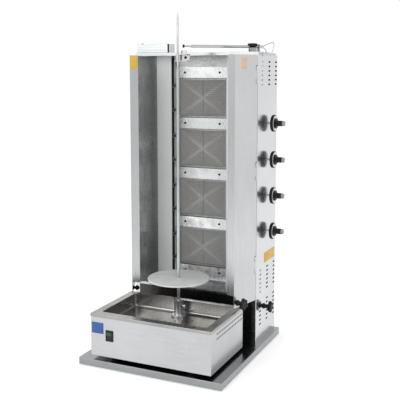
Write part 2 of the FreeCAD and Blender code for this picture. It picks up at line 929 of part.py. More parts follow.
def make_side_panels():
    make_side_panel("left_side_panel", -1)
    right = make_side_panel("right_side_panel", 1)
    wall = (half_tower_inside, half_tower)
    spindle = Circle(size.knob_depth, lowest_knob, size.spindle_diameter + 4 * size.screw_play)
    hole = extrude(right, "x", wall, spindle, cut=True)
    repeat(right, hole, ("V_Axis", size.knob_pitch, burner_count))
    stud = Circle(size.side_knob_back, size.side_knob_height, size.star_stud + 2 * size.shaft_fit)
    extrude(right, "x", wall, stud, cut=True)


def make_rear_cover():
    body = new_body("rear_cover")
    run = (size.tower_back - size.sheet, size.tower_back)
    outer = rectangle((-half_tower, half_tower), (size.base_top, cover_under))
    extrude(body, "y", run, outer)
    across = -size.back_slot_gap
    for low in (size.slot_middle_height, size.tower_top - size.slot_upper_drop
                - (size.back_slot_rows + 1) * size.slot_pitch):
        slot = extrude(body, "y", run, Slot(across, low, size.slot_length * 2, size.slot_height), cut=True)
        repeat(body, slot, ("V_Axis", size.slot_pitch, size.back_slot_rows),
               ("H_Axis", size.back_slot_gap, size.slot_columns))
    inlet = Circle(manifold_x, size.inlet_height, inlet_pipe + 2 * size.screw_play)
    gland = Circle(-size.gland_across, size.side_knob_height, size.gland_diameter * 0.75 + 2 * size.shaft_fit)
    extrude(body, "y", run, inlet, gland, cut=True)


def make_top_cover():
    """Top sheet of the tower with the two welded guides of the sliding plate."""
    body = new_body("top_cover")
    outer = rectangle((-half_tower, half_tower), (size.tower_front, size.tower_back))
    extrude(body, "z", (cover_under, size.tower_top), outer)
    outside = size.top_plate_width / 2 - size.sheet - size.running_gap
    guide = rectangle((outside - size.guide_width, outside),
                      (size.top_plate_front + size.travel + 2 * size.bend, size.tower_back - size.bend))
    guide_top = top_plate_top - size.sheet - size.running_gap
    extrude(body, "z", (size.tower_top, guide_top), *both_sides(guide))


# Front frame

def make_column(label, side):
    """A bright channel that frames the burners; its inner leg reaches back to carry the crossbars."""
    body = new_body(label)
    front = size.column_front
    inner = half_opening
    points = [
        (inner, front), (column_outer, front), (column_outer, recess_front),
        (column_outer - size.sheet, recess_front), (column_outer - size.sheet, front + size.sheet),
        (inner + size.sheet, front + size.sheet), (inner + size.sheet, column_back), (inner, column_back),
    ]
    wall = extrude(body, "z", (size.sill_top, cover_under), points if side > 0 else mirrored(points))
    round_edges(body, wall, size.bend * 0.7, lambda edge: is_upright(edge) and stays_at(edge, y=front))
    leg = (inner, inner + size.sheet) if side > 0 else (-inner - size.sheet, -inner)
    lowest = burner_centre(burner_count) - size.ear_spacing / 2
    screw = Circle((front + crossbar_front) / 2, lowest, size.screw_diameter + size.screw_play)
    hole = extrude(body, "x", leg, screw, cut=True)
    repeat(body, hole, ("V_Axis", size.crossbar_pitch, burner_count))
    clearance = size.screw_diameter + size.screw_play
    upper = Circle((front + crossbar_front) / 2, lowest + size.ear_spacing, clearance)
    hole = extrude(body, "x", leg, upper, cut=True)
    repeat(body, hole, ("V_Axis", size.crossbar_pitch, burner_count))


def make_columns():
    make_column("left_column", -1)
    make_column("right_column", 1)


def make_recess_panels():
    body = new_body("recess_panels")
    panel = rectangle((column_outer - 4 * size.sheet, half_tower_inside),
                      (recess_front, recess_front + size.sheet))
    extrude(body, "z", (size.sill_top, cover_under), *both_sides(panel))


def make_crossbars():
    """Equal bars between the columns, each bent back at both ends."""
    body = new_body("crossbars")
    back = crossbar_front + size.crossbar_end
    inner = half_opening - size.sheet
    web_back = crossbar_front + size.sheet
    bar = [
        (-half_opening, crossbar_front), (half_opening, crossbar_front), (half_opening, back), (inner, back),
        (inner, web_back), (-inner, web_back), (-inner, back), (-half_opening, back),
    ]
    step = ("H_Axis", size.crossbar_screw_span, 2)
    for number in range(SIZES["crossbar_count"]):
        low = lowest_crossbar_top - size.crossbar_height + number * size.crossbar_pitch
        extrude(body, "z", (low, low + size.crossbar_height), bar)
        hole = Circle(-size.crossbar_screw_span / 2, low + size.crossbar_height / 2,
                      size.screw_diameter + size.screw_play)
        cut = extrude(body, "y", (crossbar_front, web_back), hole, cut=True)
        repeat(body, cut, step)


def make_header_panel():
    body = new_body("header_panel")
    panel = rectangle((-half_opening, half_opening), (size.crossbar_top, cover_under))
    extrude(body, "y", (crossbar_front, crossbar_front + size.sheet), panel)


def make_sill():
    """Shelf below the burners with a turned-down lip, and the low panel that rises from it."""
    body = new_body("sill")
    under = size.sill_top - size.sheet
    half_lip = half_tower_inside - size.side_return
    lip_back = size.tower_front + size.sheet
    shelf = rectangle((-half_tower_inside, half_tower_inside), (lip_back, column_back + size.bend))
    extrude(body, "z", (under, size.sill_top), shelf)
    lip = rectangle((-half_lip, half_lip), (size.tower_front, lip_back))
    extrude(body, "z", (under - size.sill_lip, size.sill_top), lip)
    low = lowest_crossbar_top - size.crossbar_height
    face = size.column_front + size.sheet
    bent = [
        (face, size.sill_top), (face + size.sheet, size.sill_top), (face + size.sheet, low - size.sheet),
        (crossbar_front + size.sheet, low - size.sheet), (crossbar_front + size.sheet, low), (face, low),
    ]
    extrude(body, "x", (-half_opening, half_opening), bent)


def make_kick_panel():
    body = new_body("kick_panel")
    front = size.tower_front + size.sheet
    panel = rectangle((-half_tower_inside, half_tower_inside), (front, front + size.sheet))
    extrude(body, "z", (size.base_top, size.sill_top - size.sheet), panel)


# Burners

def make_burner_housing(number):
    """Sheet burner box with a front frame, ears to the columns and tabs to the crossbar above."""
    body = new_body(f"burner_housing_{number}", (0, 0, burner_centre(number)))
    half_width = size.burner_width / 2
    half_height = size.burner_height / 2
    front = burner_front
    face = front + size.sheet
    extrude(body, "y", (front, face), rectangle((-half_width, half_width), (-half_height, half_height)))
    shell_x = half_width - size.burner_body_inset
    shell_z = half_height - size.burner_body_inset
    extrude(body, "y", (face, burner_back), rectangle((-shell_x, shell_x), (-shell_z, shell_z)))
    ear_low = size.ear_spacing / 2 - size.ear_height / 2
    ear_high = ear_low + size.ear_height
    leg_front = (size.column_front + crossbar_front) / 2 - size.ear_height / 2
    leg = [
        (half_width, front), (half_opening - size.sheet, front), (half_opening - size.sheet, leg_front),
        (half_opening, leg_front), (half_opening, face), (half_width, face),
    ]
    for low, high in ((ear_low, ear_high), (-ear_high, -ear_low)):
        extrude(body, "z", (low, high), *both_sides(leg))
        hole = Circle((size.column_front + crossbar_front) / 2, (low + high) / 2,
                      size.screw_diameter + size.screw_play)
        extrude(body, "x", (-half_opening, half_opening), hole, cut=True)
    tab_middle = size.crossbar_screw_span / 2
    tab = rectangle((tab_middle - size.tab_width / 2, tab_middle + size.tab_width / 2),
                    (half_height, half_height + size.tab_rise))
    extrude(body, "y", (front, face), *both_sides(tab))
    tab_hole = burner_drop - size.crossbar_height / 2
    holes = [Circle(x, tab_hole, size.screw_diameter + size.screw_play) for x in (-tab_middle, tab_middle)]
    extrude(body, "y", (front, face), *holes, cut=True)
    window_x = size.mesh_width / 2
    window_z = size.mesh_height / 2
    window = rectangle((-window_x, window_x), (-window_z, window_z))
    plaque_back = face + size.plaque_thickness
    extrude(body, "y", (front, plaque_back), window, cut=True)
    chamber_x = shell_x - 2 * size.burner_wall
    chamber_z = shell_z - 2 * size.burner_wall
    chamber = rectangle((-chamber_x, chamber_x), (-chamber_z, chamber_z))
    extrude(body, "y", (plaque_back, burner_back - size.burner_wall), chamber, cut=True)
    tube = Circle(size.knob_depth, -size.mixer_drop, size.mixer_diameter)
    throat = Circle(size.knob_depth, -size.mixer_drop, size.mixer_diameter - 2 * size.burner_wall)
    extrude(body, "x", (shell_x, shell_x + size.mixer_length), tube)
    extrude(body, "x", (chamber_x, shell_x + size.mixer_length), throat, cut=True)


def make_burner_housings():
    for number in range(1, SIZES["crossbar_count"]):
        make_burner_housing(number)


def make_burner_meshes():
    """Wire screens in front of the plaques, each pressed to a low crown with an X of creases."""
    body = new_body("burner_meshes")
    half_width = size.mesh_width / 2
    half_height = size.mesh_height / 2
    limits = {
        "Xmin": -half_height, "Xmax": half_height, "Zmin": -half_width, "Zmax": half_width,
        "X2min": -size.mesh_base, "X2max": size.mesh_base, "Z2min": -size.mesh_base, "Z2max": size.mesh_base,
        "Ymin": 0, "Ymax": size.mesh_crown,
    }
    for number in range(1, SIZES["crossbar_count"]):
        wedge = body.newObject("PartDesign::AdditiveWedge", "mesh_crown")
        for name, value in limits.items():
            bind(wedge, name, value)
        # The wedge's own Y, its crown, faces the front and its Z lies across
        wedge.Placement = FreeCAD.Placement(FreeCAD.Vector(), TURN_WEDGE)
        bind(wedge, "Placement.Base.y", burner_front)
        bind(wedge, "Placement.Base.z", burner_centre(number))
        body.Tip = wedge


def make_burner_plaques():
    """Two ceramic plaques side by side in each burner."""
    body = new_body("burner_plaques")
    near = size.plaque_gap / 2
    front = burner_front + size.sheet
    for number in range(1, SIZES["crossbar_count"]):
        middle = burner_centre(number)
        plaque = rectangle((near, near + size.plaque_width),
                           (middle - size.plaque_height / 2, middle + size.plaque_height / 2))
        extrude(body, "y", (front, front + size.plaque_thickness), *both_sides(plaque))


# Gas supply

def make_gas_manifold():
    """Square manifold behind the valves; its inlet pipe ends in a wider nipple behind the rear cover."""
    body = new_body("gas_manifold")
    half = size.manifold_size / 2
    square = rectangle((manifold_x - half, manifold_x + half), (manifold_y, manifold_y + 2 * half))
    low = size.inlet_height - size.manifold_overrun
    extrude(body, "z", (low, size.knob_top + size.manifold_overrun), square)
    nipple_start = size.tower_back + size.running_gap
    end = size.tower_back + size.inlet_length
    pipe = Circle(manifold_x, size.inlet_height, inlet_pipe)
    extrude(body, "y", (manifold_y + size.manifold_size, nipple_start), pipe)
    nipple = Circle(manifold_x, size.inlet_height, size.inlet_diameter)
    extrude(body, "y", (nipple_start, end), nipple)
    bore = Circle(manifold_x, size.inlet_height, inlet_pipe * 0.7)
    extrude(body, "y", (manifold_y + size.manifold_size, end), bore, cut=True)


def make_gas_valves():
    body = new_body("gas_valves")
    for number in range(1, SIZES["crossbar_count"]):
        middle = knob_centre(number)
        barrel = Circle(size.knob_depth, middle, size.valve_diameter)
        extrude(body, "x", (half_tower_inside - size.valve_length, half_tower_inside), barrel)
        inlet = Circle(manifold_x, middle, size.valve_inlet)
        extrude(body, "y", (size.knob_depth, manifold_y), inlet)
        bore = Circle(size.knob_depth, middle, spindle_bore)
        extrude(body, "x", (half_tower_inside - size.spindle_depth - size.push_travel - size.bend,
                            half_tower_inside), bore, cut=True)


def make_gas_pipes():
    """A copper pipe from each valve to the brass injector at the mouth of its burner's mixing tube."""
    body = new_body("gas_pipes")
    mixer_end = size.burner_width / 2 - size.burner_body_inset + size.mixer_length
    injector_end = mixer_end + size.injector_length
    for number in range(1, SIZES["crossbar_count"]):
        outlet = burner_centre(number) - size.mixer_drop
        valve = knob_centre(number)
        rises = outlet.number > valve.number
        start = valve + (size.valve_diameter / 2 if rises else -size.valve_diameter / 2)
        jet = Circle(size.knob_depth, outlet, size.injector_diameter)
        extrude(body, "x", (mixer_end, injector_end), jet)
        path = Drawing(body, "y", size.knob_depth)
        path.add_corners([(injector_end, outlet), (manifold_x, outlet), (manifold_x, start)], closed=False)
        section = draw(body, "x", injector_end, [Circle(size.knob_depth, outlet, size.pipe_diameter)])
        pipe = body.newObject("PartDesign::AdditivePipe", "gas_pipe")
        pipe.Profile = section
        pipe.Spine = path.finish()
        pipe.Transition = "Round corner"
        body.Tip = pipe


def make_knobs():
    """Spindle and knob of each gas valve; the spindle pushes in and the knob turns on it."""
    profile_end = size.knob_length
    for number in range(1, SIZES["crossbar_count"]):
        place = (half_tower, size.knob_depth, knob_centre(number))
        spindle = new_body(f"valve_spindle_{number}", place, TURN_Z_TO_X)
        back = -size.sheet - size.spindle_depth
        tip = size.knob_off_panel + size.spindle_grip - size.running_gap
        extrude(spindle, "z", (back, tip), Circle(0, 0, size.spindle_diameter))

        knob = new_body(f"gas_knob_{number}",
                        (half_tower + size.knob_off_panel, size.knob_depth, knob_centre(number)), TURN_Z_TO_X)
        skirt = size.skirt_diameter / 2
        grip = size.handle_diameter / 2
        flange = size.handle_flange / 2
        bore = spindle_bore / 2
        wall = size.sheet * 2
        face = size.skirt_depth
        collar = face + 1.5 * wall
        revolve(knob, [
            (bore, 0), (skirt - wall, 0), (skirt, wall), (skirt, face - size.bend), (skirt - size.bend, face),
            (skirt - wall, face), (flange, face - size.bend / 2), (flange, collar),
            (flange - wall, collar + wall / 2), (grip, collar + wall / 2), (grip, profile_end - size.bend),
            (grip - size.bend, profile_end), (0, profile_end), (0, size.spindle_grip),
            (bore, size.spindle_grip),
        ])
        flute = Circle(grip + size.bend / 2, 0, size.handle_diameter / 5)
        groove = extrude(knob, "z", (collar + wall, profile_end - 3 * size.bend), flute, cut=True)
        repeat_round(knob, groove, 8)


def make_cable_gland():
    """Inlet for the mains lead in the rear cover; the lead itself isn't part of the model."""
    body = new_body("cable_gland", (-size.gland_across, size.tower_back, size.side_knob_height), TURN_Z_TO_Y)
    nut = size.gland_diameter / 2
    neck = nut * 0.75
    bore = nut * 0.4
    length = size.gland_length
    revolve(body, [
        (bore, -length / 2), (neck, -length / 2), (neck, 0), (nut, 0), (nut, length / 2),
        (nut * 0.7, length), (bore, length),
    ])


# Wings and hinges

def make_wing(label, side, toe_in):
    """Heat shield wing on the tower's front corner, drawn straight forward from its hinge pin.

    The panel is tangent to the hinge barrel, and its free edge is folded inward.
    """
    body = new_body(label, (hinge_x * side, hinge_y, 0))
    body.Placement.Rotation = FreeCAD.Rotation(FreeCAD.Vector(0, 0, -side), SIZES[toe_in])
    bind(body, "Placement.Rotation.Angle", getattr(size, toe_in))
    outside = size.barrel_diameter / 2
    inside = outside - size.sheet
    free = -size.wing_length
    panel = rectangle((inside, outside), (free, 0))
    fold = rectangle((outside - size.wing_flange, outside), (free, free + size.sheet))
    outlines = (panel, fold) if side > 0 else (mirrored(panel), mirrored(fold))
    extrude(body, "z", (size.wing_bottom, size.wing_top), outlines[0])
    extrude(body, "z", (size.wing_flange_bottom, size.wing_top), outlines[1])
    gap = size.hinge_gap
    wall = (0, size.barrel_diameter) if side > 0 else (-size.barrel_diameter, 0)
    notch = rectangle(wall, (-size.barrel_diameter, gap))
    for number in range(SIZES["hinge_count"]):
        low = size.hinge_first + number * size.hinge_pitch
        middle_low = low + size.barrel_length + gap
        middle_high = middle_low + 2 * size.barrel_length
        pin_head_top = middle_high + gap + size.barrel_length + size.bend
        extrude(body, "z", (low - gap, middle_low), notch, cut=True)
        extrude(body, "z", (middle_high, pin_head_top + gap), notch, cut=True)
        extrude(body, "z", (middle_low, middle_high), Circle(0, 0, size.barrel_diameter))
        extrude(body, "z", (middle_low, middle_high), Circle(0, 0, pin_bore), cut=True)
    return body


def make_wings():
    left = make_wing("left_wing", -1, "left_toe_in")
    right = make_wing("right_wing", 1, "right_toe_in")
    outside = size.barrel_diameter / 2
    stud = Circle(-size.wing_knob_along, size.wing_knob_height, size.star_stud + 2 * size.shaft_fit)
    extrude(right, "x", (outside - size.sheet, outside), stud, cut=True)
    extrude(left, "x", (-outside, size.sheet - outside), stud, cut=True)


def make_hinges():
    """Fixed leaves on the tower's front returns, and the pins they share with the wings."""
    leaves = new_body("hinge_leaves")
    pins = new_body("hinge_pins")
    gap = size.hinge_gap
    face = size.tower_front
    for side in (-1, 1):
        centre = hinge_x * side
        near = centre - size.leaf_reach * side
        leaf = rectangle(sorted_pair(near, centre), (face - size.sheet, face))
        for number in range(SIZES["hinge_count"]):
            low = size.hinge_first + number * size.hinge_pitch
            high = low + 4 * size.barrel_length + 2 * gap
            for start in (low, high - size.barrel_length):
                extrude(leaves, "z", (start, start + size.barrel_length), leaf)
                extrude(leaves, "z", (start, start + size.barrel_length),
                        Circle(centre, hinge_y, size.barrel_diameter))
            strip_near = centre - size.leaf_reach * side
            strip_far = centre - size.barrel_diameter * 0.6 * side
            strip = rectangle(sorted_pair(strip_near, strip_far), (face - size.sheet, face))
            extrude(leaves, "z", (low + size.barrel_length, high - size.barrel_length), strip)
            for start in (low, high - size.barrel_length):
                extrude(leaves, "z", (start, start + size.barrel_length),
                        Circle(centre, hinge_y, size.pin_diameter), cut=True)
            extrude(pins, "z", (low, high), Circle(centre, hinge_y, size.pin_diameter))
            extrude(pins, "z", (high, high + size.bend), Circle(centre, hinge_y, size.barrel_diameter * 0.8))


def sorted_pair(first, second):
    first, second = formula(first), formula(second)
    return (first, second) if first.number < second.number else (second, first)


def make_star_knob(label, place, turn):
    """Star knob on a threaded stud; its Z axis points out of the face that it clamps."""
    body = new_body(label, place, turn)
    star = size.star_diameter / 2
    neck = size.star_neck / 2
    stud = size.star_stud / 2
    low = size.star_reach - size.star_thickness
    gap = size.running_gap
    revolve(body, [
        (0, -size.star_thickness), (stud, -size.star_thickness), (stud, gap), (neck, gap),
        (neck * 0.7, low * 0.6), (star, low), (star, size.star_reach - size.bend),
        (star - size.bend, size.star_reach), (0, size.star_reach),
    ])
    scallop = Circle(star * 1.12, 0, star * 0.62)
    groove = extrude(body, "z", (low * 0.5, size.star_reach), scallop, cut=True)
    repeat_round(body, groove, size.star_lobes)
    return body


def make_star_knobs():
    toe = size.right_toe_in
    outside = size.barrel_diameter / 2
    along = size.wing_knob_along
    place = (
        hinge_x + outside * cosine(toe) - along * sine(toe),
        hinge_y - outside * sine(toe) - along * cosine(toe),
        size.wing_knob_height,
    )
    turn = FreeCAD.Rotation(FreeCAD.Vector(0, 0, -1), SIZES["right_toe_in"]).multiply(TURN_Z_TO_X)
    make_star_knob("wing_knob", place, turn)
    make_star_knob("side_knob", (half_tower, size.side_knob_back, size.side_knob_height), TURN_Z_TO_X)


def make_wing_nut():
    """Dark cap nut inside the left wing, with the stud that it draws through the sheet."""
    toe = size.left_toe_in
    inside = size.barrel_diameter / 2 - size.sheet
    along = size.wing_knob_along
    place = (
        -(hinge_x + inside * cosine(toe) - along * sine(toe)),
        hinge_y - inside * sine(toe) - along * cosine(toe),
        size.wing_knob_height,
    )
    turn = FreeCAD.Rotation(UP, SIZES["left_toe_in"]).multiply(TURN_Z_TO_X)
    body = new_body("wing_nut", place, turn)
    nut = size.star_neck * 0.4
    stud = size.star_stud / 2
    sleeve = stud + size.sheet
    spacer = size.nut_spacer
    revolve(body, [
        (0, -2 * size.sheet), (stud, -2 * size.sheet), (stud, 0), (nut, 0), (nut, size.sheet),
        (sleeve, size.sheet), (sleeve, spacer), (nut, spacer), (nut, spacer + size.star_thickness / 2),
        (nut / 2, spacer + size.star_thickness), (0, spacer + size.star_thickness),
    ])


# Sliding top gear

def make_top_plate():
    """Shallow tray upside down on the guides; it carries the box, the clamp and the rod."""
    body = new_body("top_plate")
    half = size.top_plate_width / 2
    low = size.tower_top + size.running_gap
    outer = rectangle((-half, half), (size.top_plate_front, size.top_plate_back))
    block = extrude(body, "z", (low, top_plate_top), outer)
    round_edges(body, block, size.bend * 0.7, lambda edge: stays_at(edge, z=top_plate_top))
    inner = half - size.sheet
    hollow = rectangle((-inner, inner), (size.top_plate_front + size.sheet, size.top_plate_back + size.sheet))
    extrude(body, "z", (low, top_plate_top - size.sheet), hollow, cut=True)


def make_top_box():
    body = new_body("top_box")
    cap = new_body("top_box_cap")
    left = -half_tower
    right = left + size.top_box_length
    front = size.top_box_front
    back = front + size.top_box_width
    outer = rectangle((front, back), (top_plate_top, top_plate_top + size.top_box_height))
    wall = size.top_box_wall
    inner = rectangle((front + wall, front + size.top_box_width - wall),
                      (top_plate_top + wall, top_plate_top + size.top_box_height - wall))
    tube = extrude(body, "x", (left, right), outer)
    round_edges(body, tube, wall, lambda edge: at(edge.BoundBox.XLength, size.top_box_length))
    extrude(body, "x", (left + wall, right), inner, cut=True)
    bolt = Circle(left + size.top_box_width / 3, front + size.top_box_width / 2, size.screw_head)
    high = top_plate_top + size.top_box_height
    extrude(body, "z", (high, high + 2 * size.screw_head_thickness), bolt)
    cap_end = right + size.top_box_cap
    extrude(cap, "x", (right, cap_end), outer)
    extrude(body, "x", (cap_end, cap_end + size.sheet), outer)


def make_clamp():
    """Block on the sliding plate that the rod runs through, and the knob that locks it."""
    angle = math.degrees(math.atan2(rod_sine.number, rod_cosine.number))
    block = new_body("clamp_block", (size.clamp_across, size.clamp_back, top_plate_top),
                     FreeCAD.Rotation(UP, angle))
    half = size.clamp_size / 2
    rod_top = size.rod_lift + size.rod_diameter / 2
    high = rod_top + size.clamp_roof
    outer = extrude(block, "z", (0, high), rectangle((-half, half), (-half, half)))
    round_edges(block, outer, size.bend, is_upright)
    extrude(block, "z", (0, size.sheet), rectangle((0, size.clamp_size), (-half, half)))
    ear = rectangle((size.clamp_size - 2 * size.sheet, size.clamp_size), (-half, half))
    extrude(block, "z", (0, high + half), ear)
    bore = Circle(0, size.rod_lift, size.rod_diameter + 2 * size.shaft_fit)
    extrude(block, "x", (-half, size.clamp_size), bore, cut=True)
    hole = Circle(0, 0, size.star_stud + 2 * size.shaft_fit)
    extrude(block, "z", (rod_top, high), hole, cut=True)

    knob = new_body("clamp_knob", (size.clamp_across, size.clamp_back, top_plate_top + high))
    grip = size.clamp_knob_diameter / 2
    stud = size.star_stud / 2
    gap = size.running_gap
    top = size.clamp_knob_height
    revolve(knob, [
        (0, gap - size.clamp_roof), (stud, gap - size.clamp_roof), (stud, gap), (grip * 0.5, gap),
        (grip, top * 0.25),
        (grip, top - size.bend), (grip - size.bend, top), (0, top),
    ])
    dent = Circle(grip * 1.06, 0, grip * 0.35)
    groove = extrude(knob, "z", (gap, top), dent, cut=True)
    repeat_round(knob, groove, 8)


def make_latch_rod():
    """Rod from the yoke through the clamp to the wire handle, drawn along its own X axis."""
    angle = math.degrees(math.atan2(rod_sine.number, rod_cosine.number))
    body = new_body("latch_rod", (0, spit_y, rod_height), FreeCAD.Rotation(UP, angle))
    extrude(body, "x", (size.rod_start, size.rod_end), Circle(0, 0, size.rod_diameter))
    extrude(body, "x", (size.rod_pin_start, size.rod_start), Circle(0, 0, size.rod_pin_diameter))
    wire = size.handle_wire
    near = size.rod_end - wire
    far = size.rod_end + size.handle_reach
    low = -size.handle_drop
    corners = [
        (near, 0), (far - 2 * wire, size.handle_rise), (far, size.handle_rise - wire),
        (far - 2.5 * wire, low + 2 * wire), (far - 6 * wire, low), (near + size.handle_level, -wire),
        (near + size.bend, -wire),
    ]
    for number, axis in enumerate("xxzxzx"):
        add_wire_leg(body, axis, corners[number], corners[number + 1])


def add_wire_leg(body, axis, start, end):
    """Straight leg of the handle between two places in the XZ plane, its round section square to an axis."""
    along, up = start
    path = Drawing(body, "y", 0)
    path.add_corners([start, end], closed=False)
    spine = path.finish()
    if axis == "x":
        section = draw(body, "x", along, [Circle(0, up, size.handle_wire)])
    else:
        section = draw(body, "z", up, [Circle(along, 0, size.handle_wire)])
    leg = body.newObject("PartDesign::AdditivePipe", "handle_leg")
    leg.Profile = section
    leg.Spine = spine
    body.Tip = leg


def make_spit_yoke():
    """Bright bracket behind the top of the spit: two notched shelves, and a tongue up to the rod's pin."""
    body = new_body("spit_yoke", (0, spit_y, rod_height - size.yoke_height))
    web_front = size.yoke_set_back
    web_back = web_front + size.yoke_sheet
    side_x = size.spit_neck_diameter / 2 + size.yoke_gap
    channel = size.yoke_channel
    web = rectangle((-size.yoke_left, size.yoke_right), (web_front, web_back))
    extrude(body, "z", (0, channel), web)
    tongue = rectangle((size.rod_pin_diameter, size.yoke_right * 0.7), (web_front, web_back))
    extrude(body, "z", (channel, size.yoke_height - size.rod_pin_diameter / 2), tongue)
    shelf = [
        (side_x, -size.yoke_reach), (size.yoke_right, -size.yoke_reach), (size.yoke_right, web_front),
        (-size.yoke_left, web_front), (-size.yoke_left, side_x), (side_x, side_x),
    ]
    extrude(body, "z", (0, size.yoke_sheet), shelf)
    extrude(body, "z", (channel - size.yoke_sheet, channel), shelf)


# Fasteners

def make_frame_screws():
    """Crossbar studs with their spacers, and the screws that hold the burner ears to the columns."""
    body = new_body("frame_screws")
    half_span = size.crossbar_screw_span / 2
    web_back = crossbar_front + size.sheet
    nut_front = burner_front + size.sheet
    last = SIZES["crossbar_count"] - 1
    for number in range(SIZES["crossbar_count"]):
        height = size.crossbar_top - size.crossbar_height / 2 - number * size.crossbar_pitch
        shank_end = web_back if number == last else nut_front
        places = [(-half_span, height), (half_span, height)]
        head_front = crossbar_front - size.screw_head_thickness
        add_row(body, "y", (head_front, crossbar_front), places, size.screw_head)
        add_row(body, "y", (crossbar_front, shank_end), places, size.screw_diameter)
        add_row(body, "y", (shank_end, shank_end + size.nut_thickness), places, size.screw_head)
        if number < last:
            add_row(body, "y", (web_back, burner_front), places, size.screw_head)
    along = (size.column_front + crossbar_front) / 2
    inside = half_opening - size.sheet
    outside = half_opening + size.sheet
    for number in range(1, SIZES["crossbar_count"]):
        middle = burner_centre(number)
        places = [(along, middle - size.ear_spacing / 2), (along, middle + size.ear_spacing / 2)]
        for side in (-1, 1):
            head = sorted_pair(side * (inside - size.screw_head_thickness), side * inside)
            add_row(body, "x", head, places, size.screw_head)
            shank = sorted_pair(side * inside, side * (outside + size.nut_thickness))
            add_row(body, "x", shank, places, size.screw_diameter)
            nut = sorted_pair(side * outside, side * (outside + size.nut_thickness))
            add_row(body, "x", nut, places, size.screw_head)


def add_row(body, axis, limits, places, diameter):
    """Round lengths of one diameter at several places."""
    extrude(body, axis, limits, *[Circle(across, along, diameter) for across, along in places])


MAKERS = [
    make_base_plate, make_rubber_feet, make_base_rails, make_box_glides, make_motor_box, make_drip_pan,
    make_switch, make_motor_stand, make_gear_motor, make_drive, make_drive_socket, make_spit_rod,
    make_meat_plate, make_plate_collar, make_side_panels, make_rear_cover, make_top_cover, make_columns,
    make_recess_panels, make_crossbars, make_header_panel, make_sill, make_kick_panel, make_burner_housings,
    make_burner_meshes, make_burner_plaques, make_gas_manifold, make_gas_valves, make_gas_pipes, make_knobs,
    make_cable_gland, make_wings, make_hinges, make_star_knobs, make_wing_nut, make_top_plate, make_top_box,
    make_clamp, make_latch_rod, make_spit_yoke, make_frame_screws,
]


def export():
    """Writes every sub-part to its own file after a check of the whole document."""
    doc.recompute()
    failed = [item.Name for item in doc.Objects if {"Invalid", "Error"} & set(item.State)]
    if failed:
        raise RuntimeError("these objects did not recompute: " + ", ".join(failed))
    os.makedirs("parts", exist_ok=True)
    for part in PARTS:
        if part.Shape.isNull() or not part.Shape.isValid() or not part.Shape.Solids:
            raise RuntimeError(f"{part.Label} has no valid solid")
    for part in PARTS:
        part.Shape.exportStep(f"parts/{part.Label}.step")
        print(part.Label, len(part.Shape.Solids), round(part.Shape.Volume))


for maker in MAKERS:
    maker()
export()
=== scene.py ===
"""Looks of a gas doner kebab grill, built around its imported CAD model.

Metres, +X to the right seen from the front, +Y to the back, +Z up. Each operator finishes one
piece or one group of like pieces; main() calls them in order.
"""
import math

import bmesh
import bpy
import numpy as np
from bpy.props import FloatProperty, FloatVectorProperty, PointerProperty
from mathutils import Matrix, Vector


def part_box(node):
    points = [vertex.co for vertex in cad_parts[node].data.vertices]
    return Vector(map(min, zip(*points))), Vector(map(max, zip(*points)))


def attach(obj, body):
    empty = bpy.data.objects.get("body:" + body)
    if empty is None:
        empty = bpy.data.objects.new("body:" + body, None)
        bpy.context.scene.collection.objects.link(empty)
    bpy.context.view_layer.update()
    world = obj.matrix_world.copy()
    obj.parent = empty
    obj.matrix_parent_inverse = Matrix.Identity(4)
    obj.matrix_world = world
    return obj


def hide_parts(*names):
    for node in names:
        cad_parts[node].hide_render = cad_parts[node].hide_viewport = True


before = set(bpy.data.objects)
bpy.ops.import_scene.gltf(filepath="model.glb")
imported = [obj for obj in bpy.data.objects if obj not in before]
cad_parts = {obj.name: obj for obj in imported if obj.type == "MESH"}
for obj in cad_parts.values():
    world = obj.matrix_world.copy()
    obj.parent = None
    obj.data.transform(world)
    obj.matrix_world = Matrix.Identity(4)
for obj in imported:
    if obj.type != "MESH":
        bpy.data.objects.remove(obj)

bl_info = {
    "name": "Doner grill finishes",
    "version": (1, 0, 0),
    "blender": (4, 5, 0),
    "location": "3D View > Sidebar > Grill",
    "description": "Finishes, small pieces and studio for a gas doner kebab grill",
    "category": "Object",
}

MM = 0.001
TURN = 2 * math.pi
BURNERS = (1, 2, 3, 4)
HANDS = ((-1, "left"), (1, "right"))
SHARP_EDGE = math.radians(40)    # an edge bent by more than this stays crisp
RIGHT_TOE_IN = math.radians(15)  # how far each wing is turned in at rest
LEFT_TOE_IN = math.radians(25)
KNOB_SIDES = 96
STAR_SIDES = 108


def linear(code):
    """An sRGB hex value as linear red, green and blue, with an opaque alpha."""
    shares = (int(code[start:start + 2], 16) / 255 for start in (0, 2, 4))
    return [*(c / 12.92 if c <= 0.04045 else ((c + 0.055) / 1.055) ** 2.4 for c in shares), 1.0]


def colour(name, description, code):
    return FloatVectorProperty(
        name=name, description=description, default=linear(code), size=4, subtype="COLOR", min=0, max=1)


def length(name, description, default):
    return FloatProperty(
        name=name, description=description, default=default, unit="LENGTH", min=0, precision=4)


# Sizes and colours that a user would change

